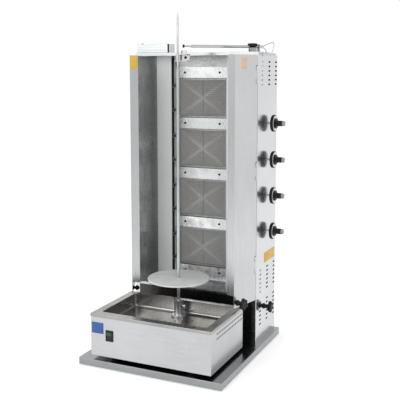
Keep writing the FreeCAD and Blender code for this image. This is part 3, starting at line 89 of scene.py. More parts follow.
class GrillColours(bpy.types.PropertyGroup):
    """Base colour of every finish"""

    brushed: colour("Brushed steel", "Wings, drip box and top", "cacccd")
    polished: colour("Polished steel", "Side panels and rear cover", "d6d8da")
    plain: colour("Plain steel", "Base plate and rear screws", "a0a2a3")
    # Near-white: a painted reflection that keeps the columns and meat plate pale
    bright: colour("Bright steel", "Columns and meat plate", "eff0f0")
    pan: colour("Deep-drawn steel", "Pan of the drip box", "b4b3b1")
    scratched: colour("Scratched steel", "Crossbars", "eeefef")
    dull: colour("Heat-dulled steel", "Yoke, and panels beside and above the burners", "c2c2c1")
    aluminised: colour("Aluminised steel", "Burner boxes and motor stand", "a9abac")
    bar: colour("Drawn bar", "Spit, drive and rod", "d6d8d9")
    kick_black: colour("Deep black coat", "Panel below the burners", "121213")
    moulded: colour("Black moulding", "Knobs, end cap, switch, gland and glides", "0d0d0e")
    rubber: colour("Rubber", "Feet", "1c1c1c")
    # Painted shade: the near-black of the boards, discs and strips behind the vents and beside the columns
    shade_black: colour("Painted shade black", "Painted shade behind the vents and beside the columns", "0a0a0a")
    cast: colour("Cast alloy", "Clamp block and motor", "b4b6b8")
    ceramic: colour("Fired ceramic", "Burner plaques", "e6e4df")
    wire: colour("Heat-resisting wire", "Burner screens", "ececeb")
    brass: colour("Brass", "Gas manifold and valves", "c2a15a")
    copper: colour("Copper", "Gas pipes", "c07a55")
    screw: colour("Blackened steel", "Screws, nuts, hinge pins and base rails", "222223")
    cap: colour("Grey moulding", "End caps of the gas knobs", "a4a7a8")
    trim: colour("Spun aluminium", "Faces of the gas knobs", "d9dbdc")
    rocker: colour("Green rocker", "Lit half of the switch", "0c5c3a")
    blue: colour("Blue label", "Plain label on the drip box", "3f63ad")
    yellow: colour("Yellow label", "Plain labels on the wing and side panel", "e9b93c")
    orange: colour("Orange label", "Plain label on the right wing", "efc79b")


class GrillSizes(bpy.types.PropertyGroup):
    """Sizes of the pieces that the CAD model leaves to the finish"""

    wire_pitch: length("Wire pitch", "Distance between neighbouring wires of a burner screen", 0.0038)
    wire_diameter: length("Wire diameter", "Thickness of one wire of a burner screen", 0.0011)
    screen_width: length("Screen width", "Width of a burner screen", 0.188)
    screen_height: length("Screen height", "Height of a burner screen", 0.134)
    screen_crown: length("Screen crown", "How far the pressed middle of a screen stands forward", 0.004)
    label_thickness: length("Label thickness", "Thickness of a stuck-on label", 0.0004)
    handle_wire: length("Handle wire", "Diameter of the wire handle's wire", 0.004)
    rivet: length("Rivet", "Diameter of the dark rivets below the burners", 0.006)
    cover_screw: length("Cover screw", "Diameter of the screw heads on the rear cover", 0.008)


class GrillStudio(bpy.types.PropertyGroup):
    """Camera and light"""

    lens: FloatProperty(name="Lens", description="Focal length of the camera in millimetres", default=65.11)
    camera_place: FloatVectorProperty(
        name="Camera place", description="Where the camera stands", subtype="TRANSLATION", unit="LENGTH",
        default=(1.1542, -2.3849, 1.0287))
    camera_aim: FloatVectorProperty(
        name="Camera aim", description="The direction in which the camera looks", subtype="DIRECTION",
        default=(-0.41270451, 0.90273825, -0.12140277))
    camera_shift: FloatProperty(
        name="Camera shift", description="Vertical shift of the picture, as a share of its height",
        default=-0.1)
    key_power: FloatProperty(
        name="Key power", description="Power of the large lamp in front", default=40, unit="POWER")
    fill_power: FloatProperty(
        name="Fill power", description="Power of the lamp at the side", default=10, unit="POWER")
    floor_size: length("Floor size", "Width of the studio floor", 60)


# Meshes

def shell(rings):
    """Points and faces of a closed skin over rings of points, an array of (ring, point, axis).

    Neighbouring rings are joined by quads, and each end ring by triangles to its middle.
    """
    rings = np.asarray(rings, float)
    rows, columns = rings.shape[:2]
    column = np.arange(columns)
    following = (column + 1) % columns
    row = np.arange(rows - 1)[:, None] * columns
    quads = np.stack([row + column, row + following, row + columns + following, row + columns + column], -1)
    last = (rows - 1) * columns
    middle = np.full(columns, rows * columns)
    fans = [np.stack([following, column, middle], -1),
            np.stack([last + column, last + following, middle + 1], -1)]
    points = np.concatenate([rings.reshape(-1, 3), [rings[0].mean(0), rings[-1].mean(0)]])
    return points, [*quads.reshape(-1, 4).tolist(), *fans[0].tolist(), *fans[1].tolist()]


def equal_angles(count):
    return np.linspace(0, TURN, count, endpoint=False)


def turned(profile, sides=64, swell=1.0):
    """Surface of revolution: ring u has the height and radius in mm of profile[u].

    Its points stand at equal angles, and swell multiplies the radius over the grid of rings and points.
    """
    height, radius = np.asarray(profile, float).T * MM
    angle = equal_angles(sides)
    reach = radius[:, None] * (swell * np.ones((1, sides)))
    return shell(np.stack([reach * np.cos(angle), reach * np.sin(angle), height[:, None] + 0 * reach], -1))


def rounded_rectangle(width, height, radius, steps=6):
    """Outline about the origin: four quarter circles, joined by straight sides."""
    angle = np.concatenate([np.linspace(0, TURN / 4, steps) + corner * TURN / 4 for corner in range(4)])
    across = np.repeat([1, -1, -1, 1], steps) * (width / 2 - radius) + radius * np.cos(angle)
    up = np.repeat([1, 1, -1, -1], steps) * (height / 2 - radius) + radius * np.sin(angle)
    return np.stack([across, up], -1)


def axis_turn(axis, across=(0, 0, 1)):
    """The matrix that takes Z to the given axis, and X as near as it can to across."""
    up = Vector(axis).normalized()
    side = Vector(across) - up * up.dot(Vector(across))
    if side.length < 0.001:
        side = Vector((1, 0, 0))
    side.normalize()
    return np.array(Matrix((side, up.cross(side), up)).transposed())


def add_piece(name, points, faces, body, material, replaced=()):
    """A closed mesh with its faces turned outwards, riding on a body."""
    mesh = bpy.data.meshes.new(name)
    mesh.from_pydata(np.asarray(points, float).tolist(), [], faces)
    skin = bmesh.new()
    skin.from_mesh(mesh)
    bmesh.ops.recalc_face_normals(skin, faces=skin.faces)
    skin.to_mesh(mesh)
    skin.free()
    mesh.polygons.foreach_set("use_smooth", [True] * len(mesh.polygons))
    mesh.set_sharp_from_angle(angle=SHARP_EDGE)
    mesh.materials.append(material)
    piece = bpy.data.objects.new(name, mesh)
    bpy.context.scene.collection.objects.link(piece)
    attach(piece, body)
    if replaced:
        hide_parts(*replaced)
    return piece


def add_turned(name, profile, place, axis, body, slot, material, replaced=(), sides=64, swell=1.0):
    """A turned piece whose Z axis is laid along an axis, its origin at a place."""
    points, faces = turned(profile, sides, swell)
    points = points @ axis_turn(axis).T + np.array(place)
    return add_piece(name, points, faces, body, material, replaced)


# Materials. Some sockets are given by index: in Map Range 0 is the value, 1 and 2 its range and 3 and 4
# the new range; in Mix 0 is the share, and 6 and 7 are the two colours.

def add_node(tree, kind, inputs=(), output=0, **settings):
    """Adds a node with its settings, sets or links its inputs, and gives back one of its outputs."""
    node = tree.nodes.new(kind)
    for name, value in settings.items():
        setattr(node, name, value)
    for name, value in dict(inputs).items():
        if isinstance(value, bpy.types.NodeSocket):
            tree.links.new(value, node.inputs[name])
        else:
            node.inputs[name].default_value = value
    return node.outputs[output] if node.outputs else None


def new_material(name):
    """An empty material, its node tree, and the Object coordinates that its patterns read."""
    material = bpy.data.materials.new(name)
    material.use_nodes = True
    material.node_tree.nodes.clear()
    return material, material.node_tree, add_node(material.node_tree, "ShaderNodeTexCoord", output="Object")


def shaded(base, share):
    return [*(c * share for c in base[:3]), 1.0]


def end_material(material, base, shade, tone, gloss, **inputs):
    """Ends a material whose colour goes from base to shade times base while tone goes from 0 to 1.

    gloss holds the inputs of the Map Range that gives the roughness.
    """
    tree = material.node_tree
    values = {
        "Base Color": add_node(tree, "ShaderNodeMix", {0: tone, 6: base, 7: shaded(base, shade)}, 2,
                               data_type="RGBA"),
        "Roughness": add_node(tree, "ShaderNodeMapRange", gloss),
    }
    values.update((socket.replace("_", " "), value) for socket, value in inputs.items())
    add_node(tree, "ShaderNodeOutputMaterial",
             {"Surface": add_node(tree, "ShaderNodeBsdfPrincipled", values)})
    return material


def make_finish(name, base, roughness, grain_mm, cloud_mm, shade, along="", relief_mm=0.0, **shader):
    """A finish whose fine grain and wide clouds vary its colour and its roughness together.

    The colour goes from base to shade times base, and the roughness through its range, with the sum
    of two noises. The grain is drawn out fifty times along one axis where the finish has a direction.
    """
    material, tree, place = new_material(name)
    stretch = [0.02 if axis == along else 1.0 for axis in "xyz"]
    drawn = add_node(tree, "ShaderNodeMapping", {"Vector": place, "Scale": stretch})
    grain = add_node(tree, "ShaderNodeTexNoise", {"Vector": drawn, "Scale": 1000 / grain_mm, "Detail": 3.0})
    cloud = add_node(tree, "ShaderNodeTexNoise", {"Vector": place, "Scale": 1000 / cloud_mm, "Detail": 3.0})
    both = add_node(tree, "ShaderNodeMath", {0: grain, 1: cloud}, operation="ADD")
    spread = {0: both, 1: 0.75, 2: 1.25}
    tone = add_node(tree, "ShaderNodeMapRange", spread)
    if relief_mm:
        shader["Normal"] = add_node(tree, "ShaderNodeBump",
                                    {"Height": grain, "Distance": relief_mm * MM, "Strength": 0.4})
    return end_material(material, base, shade, tone, {**spread, 3: roughness[0], 4: roughness[1]}, **shader)


def bright_annealed(name, base, roughness, wave_mm):
    """Stainless sheet, cold-rolled and bright-annealed: almost a mirror, with faint haze and slow waves."""
    material, tree, place = new_material(name)
    haze = add_node(tree, "ShaderNodeTexNoise", {"Vector": place, "Scale": 30.0, "Detail": 5.0})
    wave = add_node(tree, "ShaderNodeTexNoise", {"Vector": place, "Scale": 7.0, "Detail": 1.0})
    relief = add_node(tree, "ShaderNodeBump", {"Height": wave, "Distance": wave_mm * MM, "Strength": 0.4})
    gloss = {0: haze, 1: 0.3, 2: 0.7, 3: roughness[0], 4: roughness[1]}
    return end_material(material, base, 0.86, haze, gloss, Normal=relief, Metallic=1.0)


def aluminised(name, base):
    """Steel sheet, hot-dipped in aluminium: flat crystals about 8 mm wide, each its own grey."""
    material, tree, place = new_material(name)
    crystal = add_node(tree, "ShaderNodeTexVoronoi", {"Vector": place, "Scale": 1000 / 8}, "Color")
    grey = add_node(tree, "ShaderNodeRGBToBW", {0: crystal})
    return end_material(material, base, 0.72, grey, {0: grey, 3: 0.32, 4: 0.5}, Metallic=1.0)


def fired_ceramic(name, base):
    """Cordierite plaque, pressed and fired: chalky, with 1.3 mm burner holes every 2.6 mm."""
    material, tree, place = new_material(name)
    upright = add_node(tree, "ShaderNodeMapping", {"Vector": place, "Rotation": (TURN / 4, 0, 0)})
    hole = add_node(tree, "ShaderNodeTexVoronoi", {"Vector": upright, "Scale": 1000 / 2.6, "Randomness": 0.0},
                    voronoi_dimensions="2D")
    rim = add_node(tree, "ShaderNodeMapRange", {0: hole, 1: 0.22, 2: 0.3})
    scorch = add_node(tree, "ShaderNodeTexNoise", {"Vector": place, "Scale": 25.0, "Detail": 4.0})
    face = add_node(tree, "ShaderNodeMix", {0: scorch, 6: base, 7: shaded(base, 0.7)}, 2, data_type="RGBA")
    surface = add_node(tree, "ShaderNodeBsdfPrincipled", {
        "Base Color": add_node(tree, "ShaderNodeMix", {0: rim, 6: shaded(base, 0.05), 7: face}, 2,
                               data_type="RGBA"),
        "Normal": add_node(tree, "ShaderNodeBump", {"Height": rim, "Distance": 0.6 * MM, "Strength": 0.6}),
        "Roughness": 0.85,
    })
    add_node(tree, "ShaderNodeOutputMaterial", {"Surface": surface})
    return material


def wire_cloth(name, base):
    """Heat-resisting wire, woven and pressed: scaled grey, with a painted highlight along the pressed folds.
    """
    material, tree, place = new_material(name)
    scale = add_node(tree, "ShaderNodeTexNoise", {"Vector": place, "Scale": 90.0, "Detail": 4.0})
    # Painted highlight along the pressed folds, read from the screen's points
    fold_highlight = add_node(tree, "ShaderNodeAttribute", output="Fac", attribute_name="fold_highlight")
    aged = add_node(tree, "ShaderNodeMix", {0: scale, 6: base, 7: shaded(base, 0.6)}, 2, data_type="RGBA")
    bright = [min(1.0, c * 2.2) for c in base[:3]] + [1.0]
    surface = add_node(tree, "ShaderNodeBsdfPrincipled", {
        "Base Color": add_node(tree, "ShaderNodeMix", {0: fold_highlight, 6: aged, 7: bright}, 2, data_type="RGBA"),
        "Metallic": 1.0, "Roughness": 0.4,
    })
    add_node(tree, "ShaderNodeOutputMaterial", {"Surface": surface})
    return material


def spun_disc(name, base, centre):
    """Aluminium, spun and lacquered: rings about 1 mm wide round its middle fan the highlight out."""
    material, tree, place = new_material(name)
    away = add_node(tree, "ShaderNodeVectorMath", {0: place, 1: centre}, "Value", operation="DISTANCE")
    ring = add_node(tree, "ShaderNodeTexNoise", {"W": away, "Scale": 1000.0}, noise_dimensions="1D")
    gloss = {0: ring, 1: 0.3, 2: 0.7, 3: 0.2, 4: 0.4}
    return end_material(material, base, 0.75, ring, gloss, Metallic=1.0)


def dress(material, *nodes):
    """Gives a material to every material slot of the named CAD nodes."""
    for node in nodes:
        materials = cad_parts[node].data.materials
        for index in range(len(materials)):
            materials[index] = material


# Operators, one for each piece or group of like pieces

class GRILL_OT_outer_sheets(bpy.types.Operator):
    """Finish the panels, wings, drip box, base and top that are seen from outside"""

    bl_idname = "grill.outer_sheets"
    bl_label = "Outer sheets"

    def execute(self, context):
        colours = context.scene.grill_colours
        # Belt-brushed sheet: long fine lines spread each reflection along the grain. Real lines are
        # about 0.1 mm wide and are drawn 2.2 mm wide here, so that they show.
        brushed = {"roughness": (0.14, 0.3), "grain_mm": 2.2, "cloud_mm": 260, "shade": 0.87, "Metallic": 1.0}
        dress(make_finish("Stainless sheet, brushed upright", colours.brushed, along="z", **brushed),
              "left_wing", "right_wing", "hinge_leaves")
        dress(make_finish("Stainless sheet, brushed level", colours.brushed, along="x", **brushed),
              "motor_box", "top_cover", "top_plate", "top_box", "sill")
        # The base plate: the same brushed grain in the darker plain colour
        dress(make_finish("Stainless sheet, brushed, darker", colours.plain, along="x", **brushed),
              "base_plate")
        # Fine-polished sheet: clear reflections that only a thin upright grain softens.
        polished = {"roughness": (0.16, 0.27), "grain_mm": 1.6, "cloud_mm": 400, "shade": 0.9,
                    "Metallic": 1.0}
        dress(make_finish("Stainless sheet, polished", colours.polished, along="z", **polished),
              "left_side_panel", "right_side_panel", "rear_cover")
        return {"FINISHED"}


class GRILL_OT_inner_sheets(bpy.types.Operator):
    """Finish the bright columns and pan, and the sheets round the burners"""

    bl_idname = "grill.inner_sheets"
    bl_label = "Inner sheets"

    def execute(self, context):
        colours = context.scene.grill_colours
        dress(bright_annealed("Stainless sheet, bright-annealed", colours.dull, (0.12, 0.24), 0.6),
              "spit_yoke")
        # Satin sheet, bead-blasted: matt, and only a tenth metallic, so that its near-white colour paints in
        # the bright reflections that keep it pale beside the dark recess.
        dress(make_finish("Stainless sheet, satin", colours.bright, (0.55, 0.7), 2.0, 200, 0.92, along="z",
                          Metallic=0.1), "left_column", "right_column")
        # Deep-drawn and wiped: scratches along the pan drag its reflections out from front to back.
        dress(make_finish("Stainless pan, deep-drawn", colours.pan, (0.16, 0.34), 2.4, 120, 0.7, along="y",
                          Metallic=1.0), "drip_pan")
        # Turned disc, dulled by knives and scouring: only a fifth metallic, so that its near-white colour
        # paints in one pale sheen.
        dress(make_finish("Stainless disc, turned and scoured", colours.bright, (0.42, 0.6), 3.0, 50, 0.8,
                          Metallic=0.2), "meat_plate")
        # Sheet tarnished by burner heat: patches about 70 mm wide and specks break its reflections.
        dress(make_finish("Stainless sheet, heat-dulled", colours.dull, (0.26, 0.5), 6, 70, 0.72,
                          Metallic=1.0), "recess_panels", "header_panel")
        # Wiped with abrasive pads: short scuffs about 5 mm wide in every direction.
        dress(make_finish("Stainless sheet, scoured", colours.scratched, (0.12, 0.42), 5, 30, 0.74,
                          relief_mm=0.15, Metallic=1.0), "crossbars")
        dress(aluminised("Steel sheet, aluminised", colours.aluminised),
              "motor_bracket", *[f"burner_housing_{number}" for number in BURNERS])
        # Deep black sheet under a clear coat, whose orange peel is about 4 mm wide.
        dress(make_finish("Steel sheet, deep black coated", colours.kick_black, (0.2, 0.4), 4, 60, 0.7,
                          relief_mm=0.1, Coat_Weight=0.6, Coat_Roughness=0.12), "kick_panel")
        return {"FINISHED"}


class GRILL_OT_machine_parts(bpy.types.Operator):
    """Finish the spit, drive, rod, gas gear, glides, feet and fasteners"""

    bl_idname = "grill.machine_parts"
    bl_label = "Machine parts"

    def execute(self, context):
        colours = context.scene.grill_colours
        # Drawn bar: scratches 1 mm wide run along it and thin its highlight.
        dress(make_finish("Stainless bar, drawn", colours.bar, (0.14, 0.32), 1.0, 60, 0.7, along="z",
                          Metallic=1.0),
              "spit_rod", "drive_socket", "drive_shaft", "plate_collar", "shaft_bearing", "latch_rod",
              *[f"valve_spindle_{number}" for number in BURNERS])
        # Shot-blasted casting: even pebbles 1.2 mm wide give a dull sheen.
        dress(make_finish("Aluminium alloy, die-cast and blasted", colours.cast, (0.36, 0.52), 1.2, 25, 0.75,
                          relief_mm=0.2, Metallic=1.0), "clamp_block", "gear_motor")
        # Turned and drawn gas fittings: a soft sheen, a little stained in patches 30 to 40 mm wide.
        dress(make_finish("Brass, machined", colours.brass, (0.2, 0.34), 2.0, 30, 0.75, Metallic=1.0),
              "gas_manifold", "gas_valves")
        dress(make_finish("Copper tube, drawn", colours.copper, (0.22, 0.4), 3.0, 40, 0.65, Metallic=1.0),
              "gas_pipes")
        # Black oxide on steel: a thin dark skin, worn a little lighter in patches.
        dress(make_finish("Steel, black-oxide finish", colours.screw, (0.3, 0.5), 1.5, 12, 0.6, Metallic=1.0),
              "frame_screws", "hinge_pins", "wing_nut", "base_rails")
        # Injection-moulded nylon: a fine spark-eroded grain 1 mm wide under a low gloss.
        dress(make_finish("Nylon, injection-moulded black", colours.moulded, (0.34, 0.52), 1.0, 20, 0.7,
                          relief_mm=0.08), "top_box_cap", "cable_gland", "switch_bezel", "box_glides")
        # Moulded rubber: dull and slightly dusty.
        dress(make_finish("Rubber, moulded", colours.rubber, (0.62, 0.85), 1.5, 15, 0.7, relief_mm=0.1),
              "rubber_feet")
        dress(fired_ceramic("Cordierite ceramic, fired", colours.ceramic), "burner_plaques")
        return {"FINISHED"}


class GRILL_OT_burner_screens(bpy.types.Operator):
    """Weave the four pressed wire screens in front of the burner plaques"""

    bl_idname = "grill.burner_screens"
    bl_label = "Burner screens"

    def execute(self, context):
        sizes = context.scene.grill_sizes
        cloth = wire_cloth("Heat-resisting wire, woven", context.scene.grill_colours.wire)
        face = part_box("burner_meshes")[1].y - sizes.wire_diameter
        above_foot = 75 * MM  # middle of a screen over the foot of its burner housing
        points, faces, fold_highlight = self.weave(sizes)
        for number in BURNERS:
            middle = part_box(f"burner_housing_{number}")[0].z + above_foot
            place = np.array([0, face, middle])
            screen = add_piece(f"burner_screen_{number}", points + place, faces, "tower", cloth,
                               ["burner_meshes"] if number == 1 else ())
            # Painted highlight along the folds, stored on the screen's points
            layer = screen.data.attributes.new("fold_highlight", "FLOAT", "POINT")
            layer.data.foreach_set("value", fold_highlight.astype(np.float32))
        return {"FINISHED"}

    def weave(self, sizes):
        """Upright and level wires, each a four-sided tube along a line of the pressed screen.

        The screen stands forward by crown times (1 - the larger share of the way to a side), a low
        pyramid. Each wire adds a cosine with one crossing in each half wave, and neighbours are half
        a wave apart, so the two sets pass over and under each other. Near the pyramid's folds, where
        both shares are equal, the wires get a painted highlight.
        """
        half = np.array([sizes.screen_width, sizes.screen_height]) / 2
        counts = np.round(2 * half / sizes.wire_pitch).astype(int)
        radius = sizes.wire_diameter / 2
        points, faces, fold_highlight, used = [], [], [], 0
        for across, along, side in ((0, 1, 1), (1, 0, -1)):
            lane = np.linspace(-half[across], half[across], counts[across] + 1)[1:-1, None]
            step = np.linspace(-half[along], half[along], 2 * counts[along] + 1)[None, :]
            shares = np.abs(lane) / half[across] + 0 * step, np.abs(step) / half[along] + 0 * lane
            bend = np.cos(math.pi * (np.arange(lane.size)[:, None] + np.arange(step.size) / 2))
            line = np.zeros((lane.size, step.size, 1, 3))
            line[:, :, 0, 2 * across] = lane
            line[:, :, 0, 2 * along] = step
            line[:, :, 0, 1] = side * radius * bend - sizes.screen_crown * (1 - np.maximum(*shares))
            sideways, outward = np.zeros(3), np.array([0, radius, 0])
            sideways[2 * across] = radius
            tube = line + np.array([sideways, outward, -sideways, -outward])
            start = used + np.arange(lane.size)[:, None, None] * step.size * 4
            corner = np.arange(4)
            following = (corner + 1) % 4
            ring = np.arange(step.size - 1)[:, None] * 4
            walls = np.stack([ring + corner, ring + following, ring + 4 + following, ring + 4 + corner], -1)
            ends = np.array([corner[::-1], corner + (step.size - 1) * 4])
            faces.append((start + np.concatenate([walls.reshape(-1, 4), ends])).reshape(-1, 4))
            points.append(tube.reshape(-1, 3))
            used += points[-1].shape[0]
            # Painted highlight: strongest on the folds, where both shares are equal, fading towards the sides
            fold = np.exp(-((shares[0] - shares[1]) * 9) ** 2) * np.clip(1.2 - np.maximum(*shares), 0, 1)
            fold_highlight.append(np.repeat(fold.reshape(-1), 4))
        return np.concatenate(points), np.concatenate(faces).tolist(), np.concatenate(fold_highlight)


class GRILL_OT_gas_knobs(bpy.types.Operator):
    """Build the four gas knobs: black skirt and fluted handle, spun face and grey end cap"""

    bl_idname = "grill.gas_knobs"
    bl_label = "Gas knobs"

    def execute(self, context):
        colours = context.scene.grill_colours
        # Compression-moulded phenolic: deep black, glossy on the rims and faintly grained.
        black = make_finish("Phenolic, compression-moulded black", colours.moulded, (0.34, 0.5), 1.5, 15, 0.6,
                            relief_mm=0.06, Specular_IOR_Level=0.3)
        # Injection-moulded acrylic: smooth, with a soft even gloss.
        grey = make_finish("Acrylic, moulded grey", colours.cap, (0.25, 0.4), 1.0, 12, 0.85)
        for number in BURNERS:
            node = f"gas_knob_{number}"
            low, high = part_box(node)
            place = (low.x, (low.y + high.y) / 2, (low.z + high.z) / 2)
            end = (high.x - low.x) / MM
            rim = (high.z - low.z) / 2 / MM
            seat = {"place": place, "axis": (1, 0, 0), "body": node, "slot": "knob_body"}
            profile, swell = self.handle(end, rim)
            add_turned(f"gas_knob_body_{number}", profile, material=black, replaced=[node],
                       sides=KNOB_SIDES, swell=swell, **seat)
            face = spun_disc(f"Aluminium trim, spun, knob {number}", colours.trim, place)
            ring = [(12.2, 18), (12.7, 18.6), (13.1, rim - 6), (13.1, rim - 3.4), (12.4, rim - 2.6),
                    (11.6, rim - 2.6)]
            add_turned(f"gas_knob_face_{number}", ring, material=face, sides=KNOB_SIDES, **seat)
            cap = [(end - 9, 9.2), (end - 8.4, 9.9), (end - 1.6, 9.5), (end - 0.5, 8.6), (end - 0.1, 6.5),
                   (end, 3)]
            add_turned(f"gas_knob_cap_{number}", cap, material=grey, **seat)
        return {"FINISHED"}

    def handle(self, end, rim):
        """Skirt, flange and handle in one profile, in mm from the panel.

        Flutes from a squared cosine of the angle start at the collar and reach their depth, a share
        of the radius, over the run-in.
        """
        profile = np.array([
            (0, 10), (0, rim - 4), (0.7, rim - 1.6), (2.2, rim - 0.3), (3.6, rim), (10.2, rim),
            (11.6, rim - 0.6), (12.4, rim - 2), (12.3, rim - 3), (12.1, 19), (13.6, 18.2), (14.2, 18.5),
            (17, 18.5), (18, 17.8), (18.6, 14), (19.4, 11.6), (21, 10.8), (end - 13, 10.6), (end - 10, 10.4),
            (end - 9, 9.4),
        ])
        flutes, depth, collar, run_in = 8, 0.14, 18.4, 3
        fluted = np.clip((profile[:, 0] - collar) / run_in, 0, 1)[:, None]
        return profile, 1 - depth * fluted * (0.5 + 0.5 * np.cos(flutes * equal_angles(KNOB_SIDES))) ** 2


class GRILL_OT_hand_knobs(bpy.types.Operator):
    """Build the two star knobs and the clamp knob on top"""

    bl_idname = "grill.hand_knobs"
    bl_label = "Hand knobs"

    def execute(self, context):
        moulded = context.scene.grill_colours.moulded
        # Compression-moulded phenolic of the hand knobs: a little duller from handling.
        black = make_finish("Phenolic, moulded black and handled", moulded, (0.4, 0.58), 1.5, 18, 0.6,
                            relief_mm=0.06, Specular_IOR_Level=0.3)
        outward = Vector((math.cos(RIGHT_TOE_IN), -math.sin(RIGHT_TOE_IN), 0))
        top = 33  # height of a star knob in mm
        profile, swell = self.star(top)
        for name, node, axis, body in (("wing_star_knob", "wing_knob", outward, "shield_knob"),
                                       ("side_star_knob", "side_knob", Vector((1, 0, 0)), "panel_knob")):
            low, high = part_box(node)
            middle = (low + high) / 2
            place = middle + axis * (self.far_end(node, axis) - middle.dot(axis) - top * MM)
            add_turned(name, profile, place, axis, body, "knob_body", black, [node], STAR_SIDES, swell)
        low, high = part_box("clamp_knob")
        profile, swell = self.clamp(high.z / MM, (high.x - low.x) / 2 / MM)
        place = ((low.x + high.x) / 2, (low.y + high.y) / 2, 0)
        add_turned("rod_clamp_knob", profile, place, (0, 0, 1), "rod_knob", "knob_body", black,
                   ["clamp_knob"], KNOB_SIDES, swell)
        return {"FINISHED"}

    def far_end(self, node, direction):
        """How far a node reaches along a direction from the origin."""
        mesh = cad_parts[node].data
        points = np.zeros(len(mesh.vertices) * 3)
        mesh.vertices.foreach_get("co", points)
        return float((points.reshape(-1, 3) @ np.array(direction)).max())

    def star(self, top):
        """A washer, a waisted neck and a head, in mm, with six lobes parted by a cosine of the angle.

        The lobes grow over the radii from neck to head, and pinch by a share of the radius.
        """
        profile = np.array([
            (0.4, 10.2), (0.9, 11), (2.6, 10.8), (3.2, 9.2), (7, 7.6), (top - 18, 7.6), (top - 15, 11),
            (top - 13.6, 17), (top - 12, 20.4), (top - 9, 21.9), (top - 5, 21.8), (top - 2.2, 20.2),
            (top - 0.6, 16.5), (top - 0.1, 11), (top - 0.9, 7.5), (top - 1, 3),
        ])
        lobes, pinch, neck, head = 6, 0.3, 9, 18
        lobed = np.clip((profile[:, 1] - neck) / (head - neck), 0, 1)[:, None]
        return profile, 1 - pinch * lobed * (0.5 - 0.5 * np.cos(lobes * equal_angles(STAR_SIDES))) ** 1.5

    def clamp(self, top, rim):
        """A low domed grip, in mm, with eight finger dents from a squared cosine of the angle.

        The dents grow over the radii from neck to grip, and press in by a share of the radius.
        """
        profile = np.array([
            (top - 15.6, 8.6), (top - 15, 9.4), (top - 13.4, 10), (top - 12.4, rim - 3),
            (top - 11.4, rim - 0.6), (top - 9.5, rim), (top - 3.4, rim), (top - 1.4, rim - 1),
            (top - 0.4, rim - 3.2), (top, 9), (top - 0.3, 3),
        ])
        dents, depth, neck, grip = 8, 0.13, 10, 16
        dented = np.clip((profile[:, 1] - neck) / (grip - neck), 0, 1)[:, None]
        return profile, 1 - depth * dented * (0.5 + 0.5 * np.cos(dents * equal_angles(KNOB_SIDES))) ** 2


class GRILL_OT_latch_rod(bpy.types.Operator):
    """Build the latch rod with its chamfered ends, end nut and bent wire handle"""

    bl_idname = "grill.latch_rod"
    bl_label = "Latch rod"

    def execute(self, context):
        colours = context.scene.grill_colours
        # Known fault: this height is 12 mm over the axis of the solid rod, which lies 19 mm below the
        # top of the latch_rod node.
        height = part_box("clamp_block")[1].z - 8 * MM
        spit_back = -48 * MM  # the rod points at the spit, which stands here
        start = Vector((0, spit_back, height))
        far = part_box("latch_rod")[1]
        along = Vector((far.x, far.y - start.y, 0)).normalized()
        bar = make_finish("Stainless bar, drawn and polished", colours.bar, (0.12, 0.26), 1.0, 60, 0.8,
                          Metallic=1.0)
        rod = [(17, 2), (17.6, 3), (46.6, 3), (47, 4.2), (48, 5), (316, 5), (317, 4)]
        add_turned("latch_rod_bar", rod, start, along, "spit_latch", "polished_bar", bar, ["latch_rod"], 40)
        dark = make_finish("Steel, black-oxide nut", colours.screw, (0.3, 0.5), 1.0, 8, 0.6, Metallic=1.0)
        nut = [(17.4, 3), (17.5, 5.2), (18, 5.7), (23, 5.7), (23.5, 5.2), (23.6, 3)]
        add_turned("rod_end_nut", nut, start, along, "spit_latch", "dark_screw", dark, sides=6)
        points, faces = self.handle(context.scene.grill_sizes.handle_wire / MM)
        turn = np.array([along, Vector((0, 0, 1)).cross(along), (0, 0, 1)])
        add_piece("rod_wire_handle", points @ turn * MM + np.array(start), faces, "spit_latch",
                  bar)
        return {"FINISHED"}

    def handle(self, wire):
        """A round wire carried along a loop in the XZ plane, all in mm.

        The loop's corners are cut three times at a quarter and three quarters of each side, which
        rounds them.
        """
        cuts, sides = 3, 16
        line = np.array([(313, 0), (351, 17), (359, 13), (349, -27), (335, -35), (322, -4), (313, -4)], float)
        for _ in range(cuts):
            near = 0.75 * line[:-1] + 0.25 * line[1:]
            far = 0.25 * line[:-1] + 0.75 * line[1:]
            line = np.concatenate([line[:1], np.stack([near, far], 1).reshape(-1, 2), line[-1:]])
        tangent = np.gradient(line, axis=0)
        tangent /= np.linalg.norm(tangent, axis=1)[:, None]
        angle = equal_angles(sides)
        inward = wire / 2 * np.cos(angle)
        rings = np.zeros((len(line), sides, 3))
        rings[:, :, 0] = line[:, :1] - tangent[:, 1:] * inward
        rings[:, :, 1] = wire / 2 * np.sin(angle)
        rings[:, :, 2] = line[:, 1:] + tangent[:, :1] * inward
        return shell(rings)


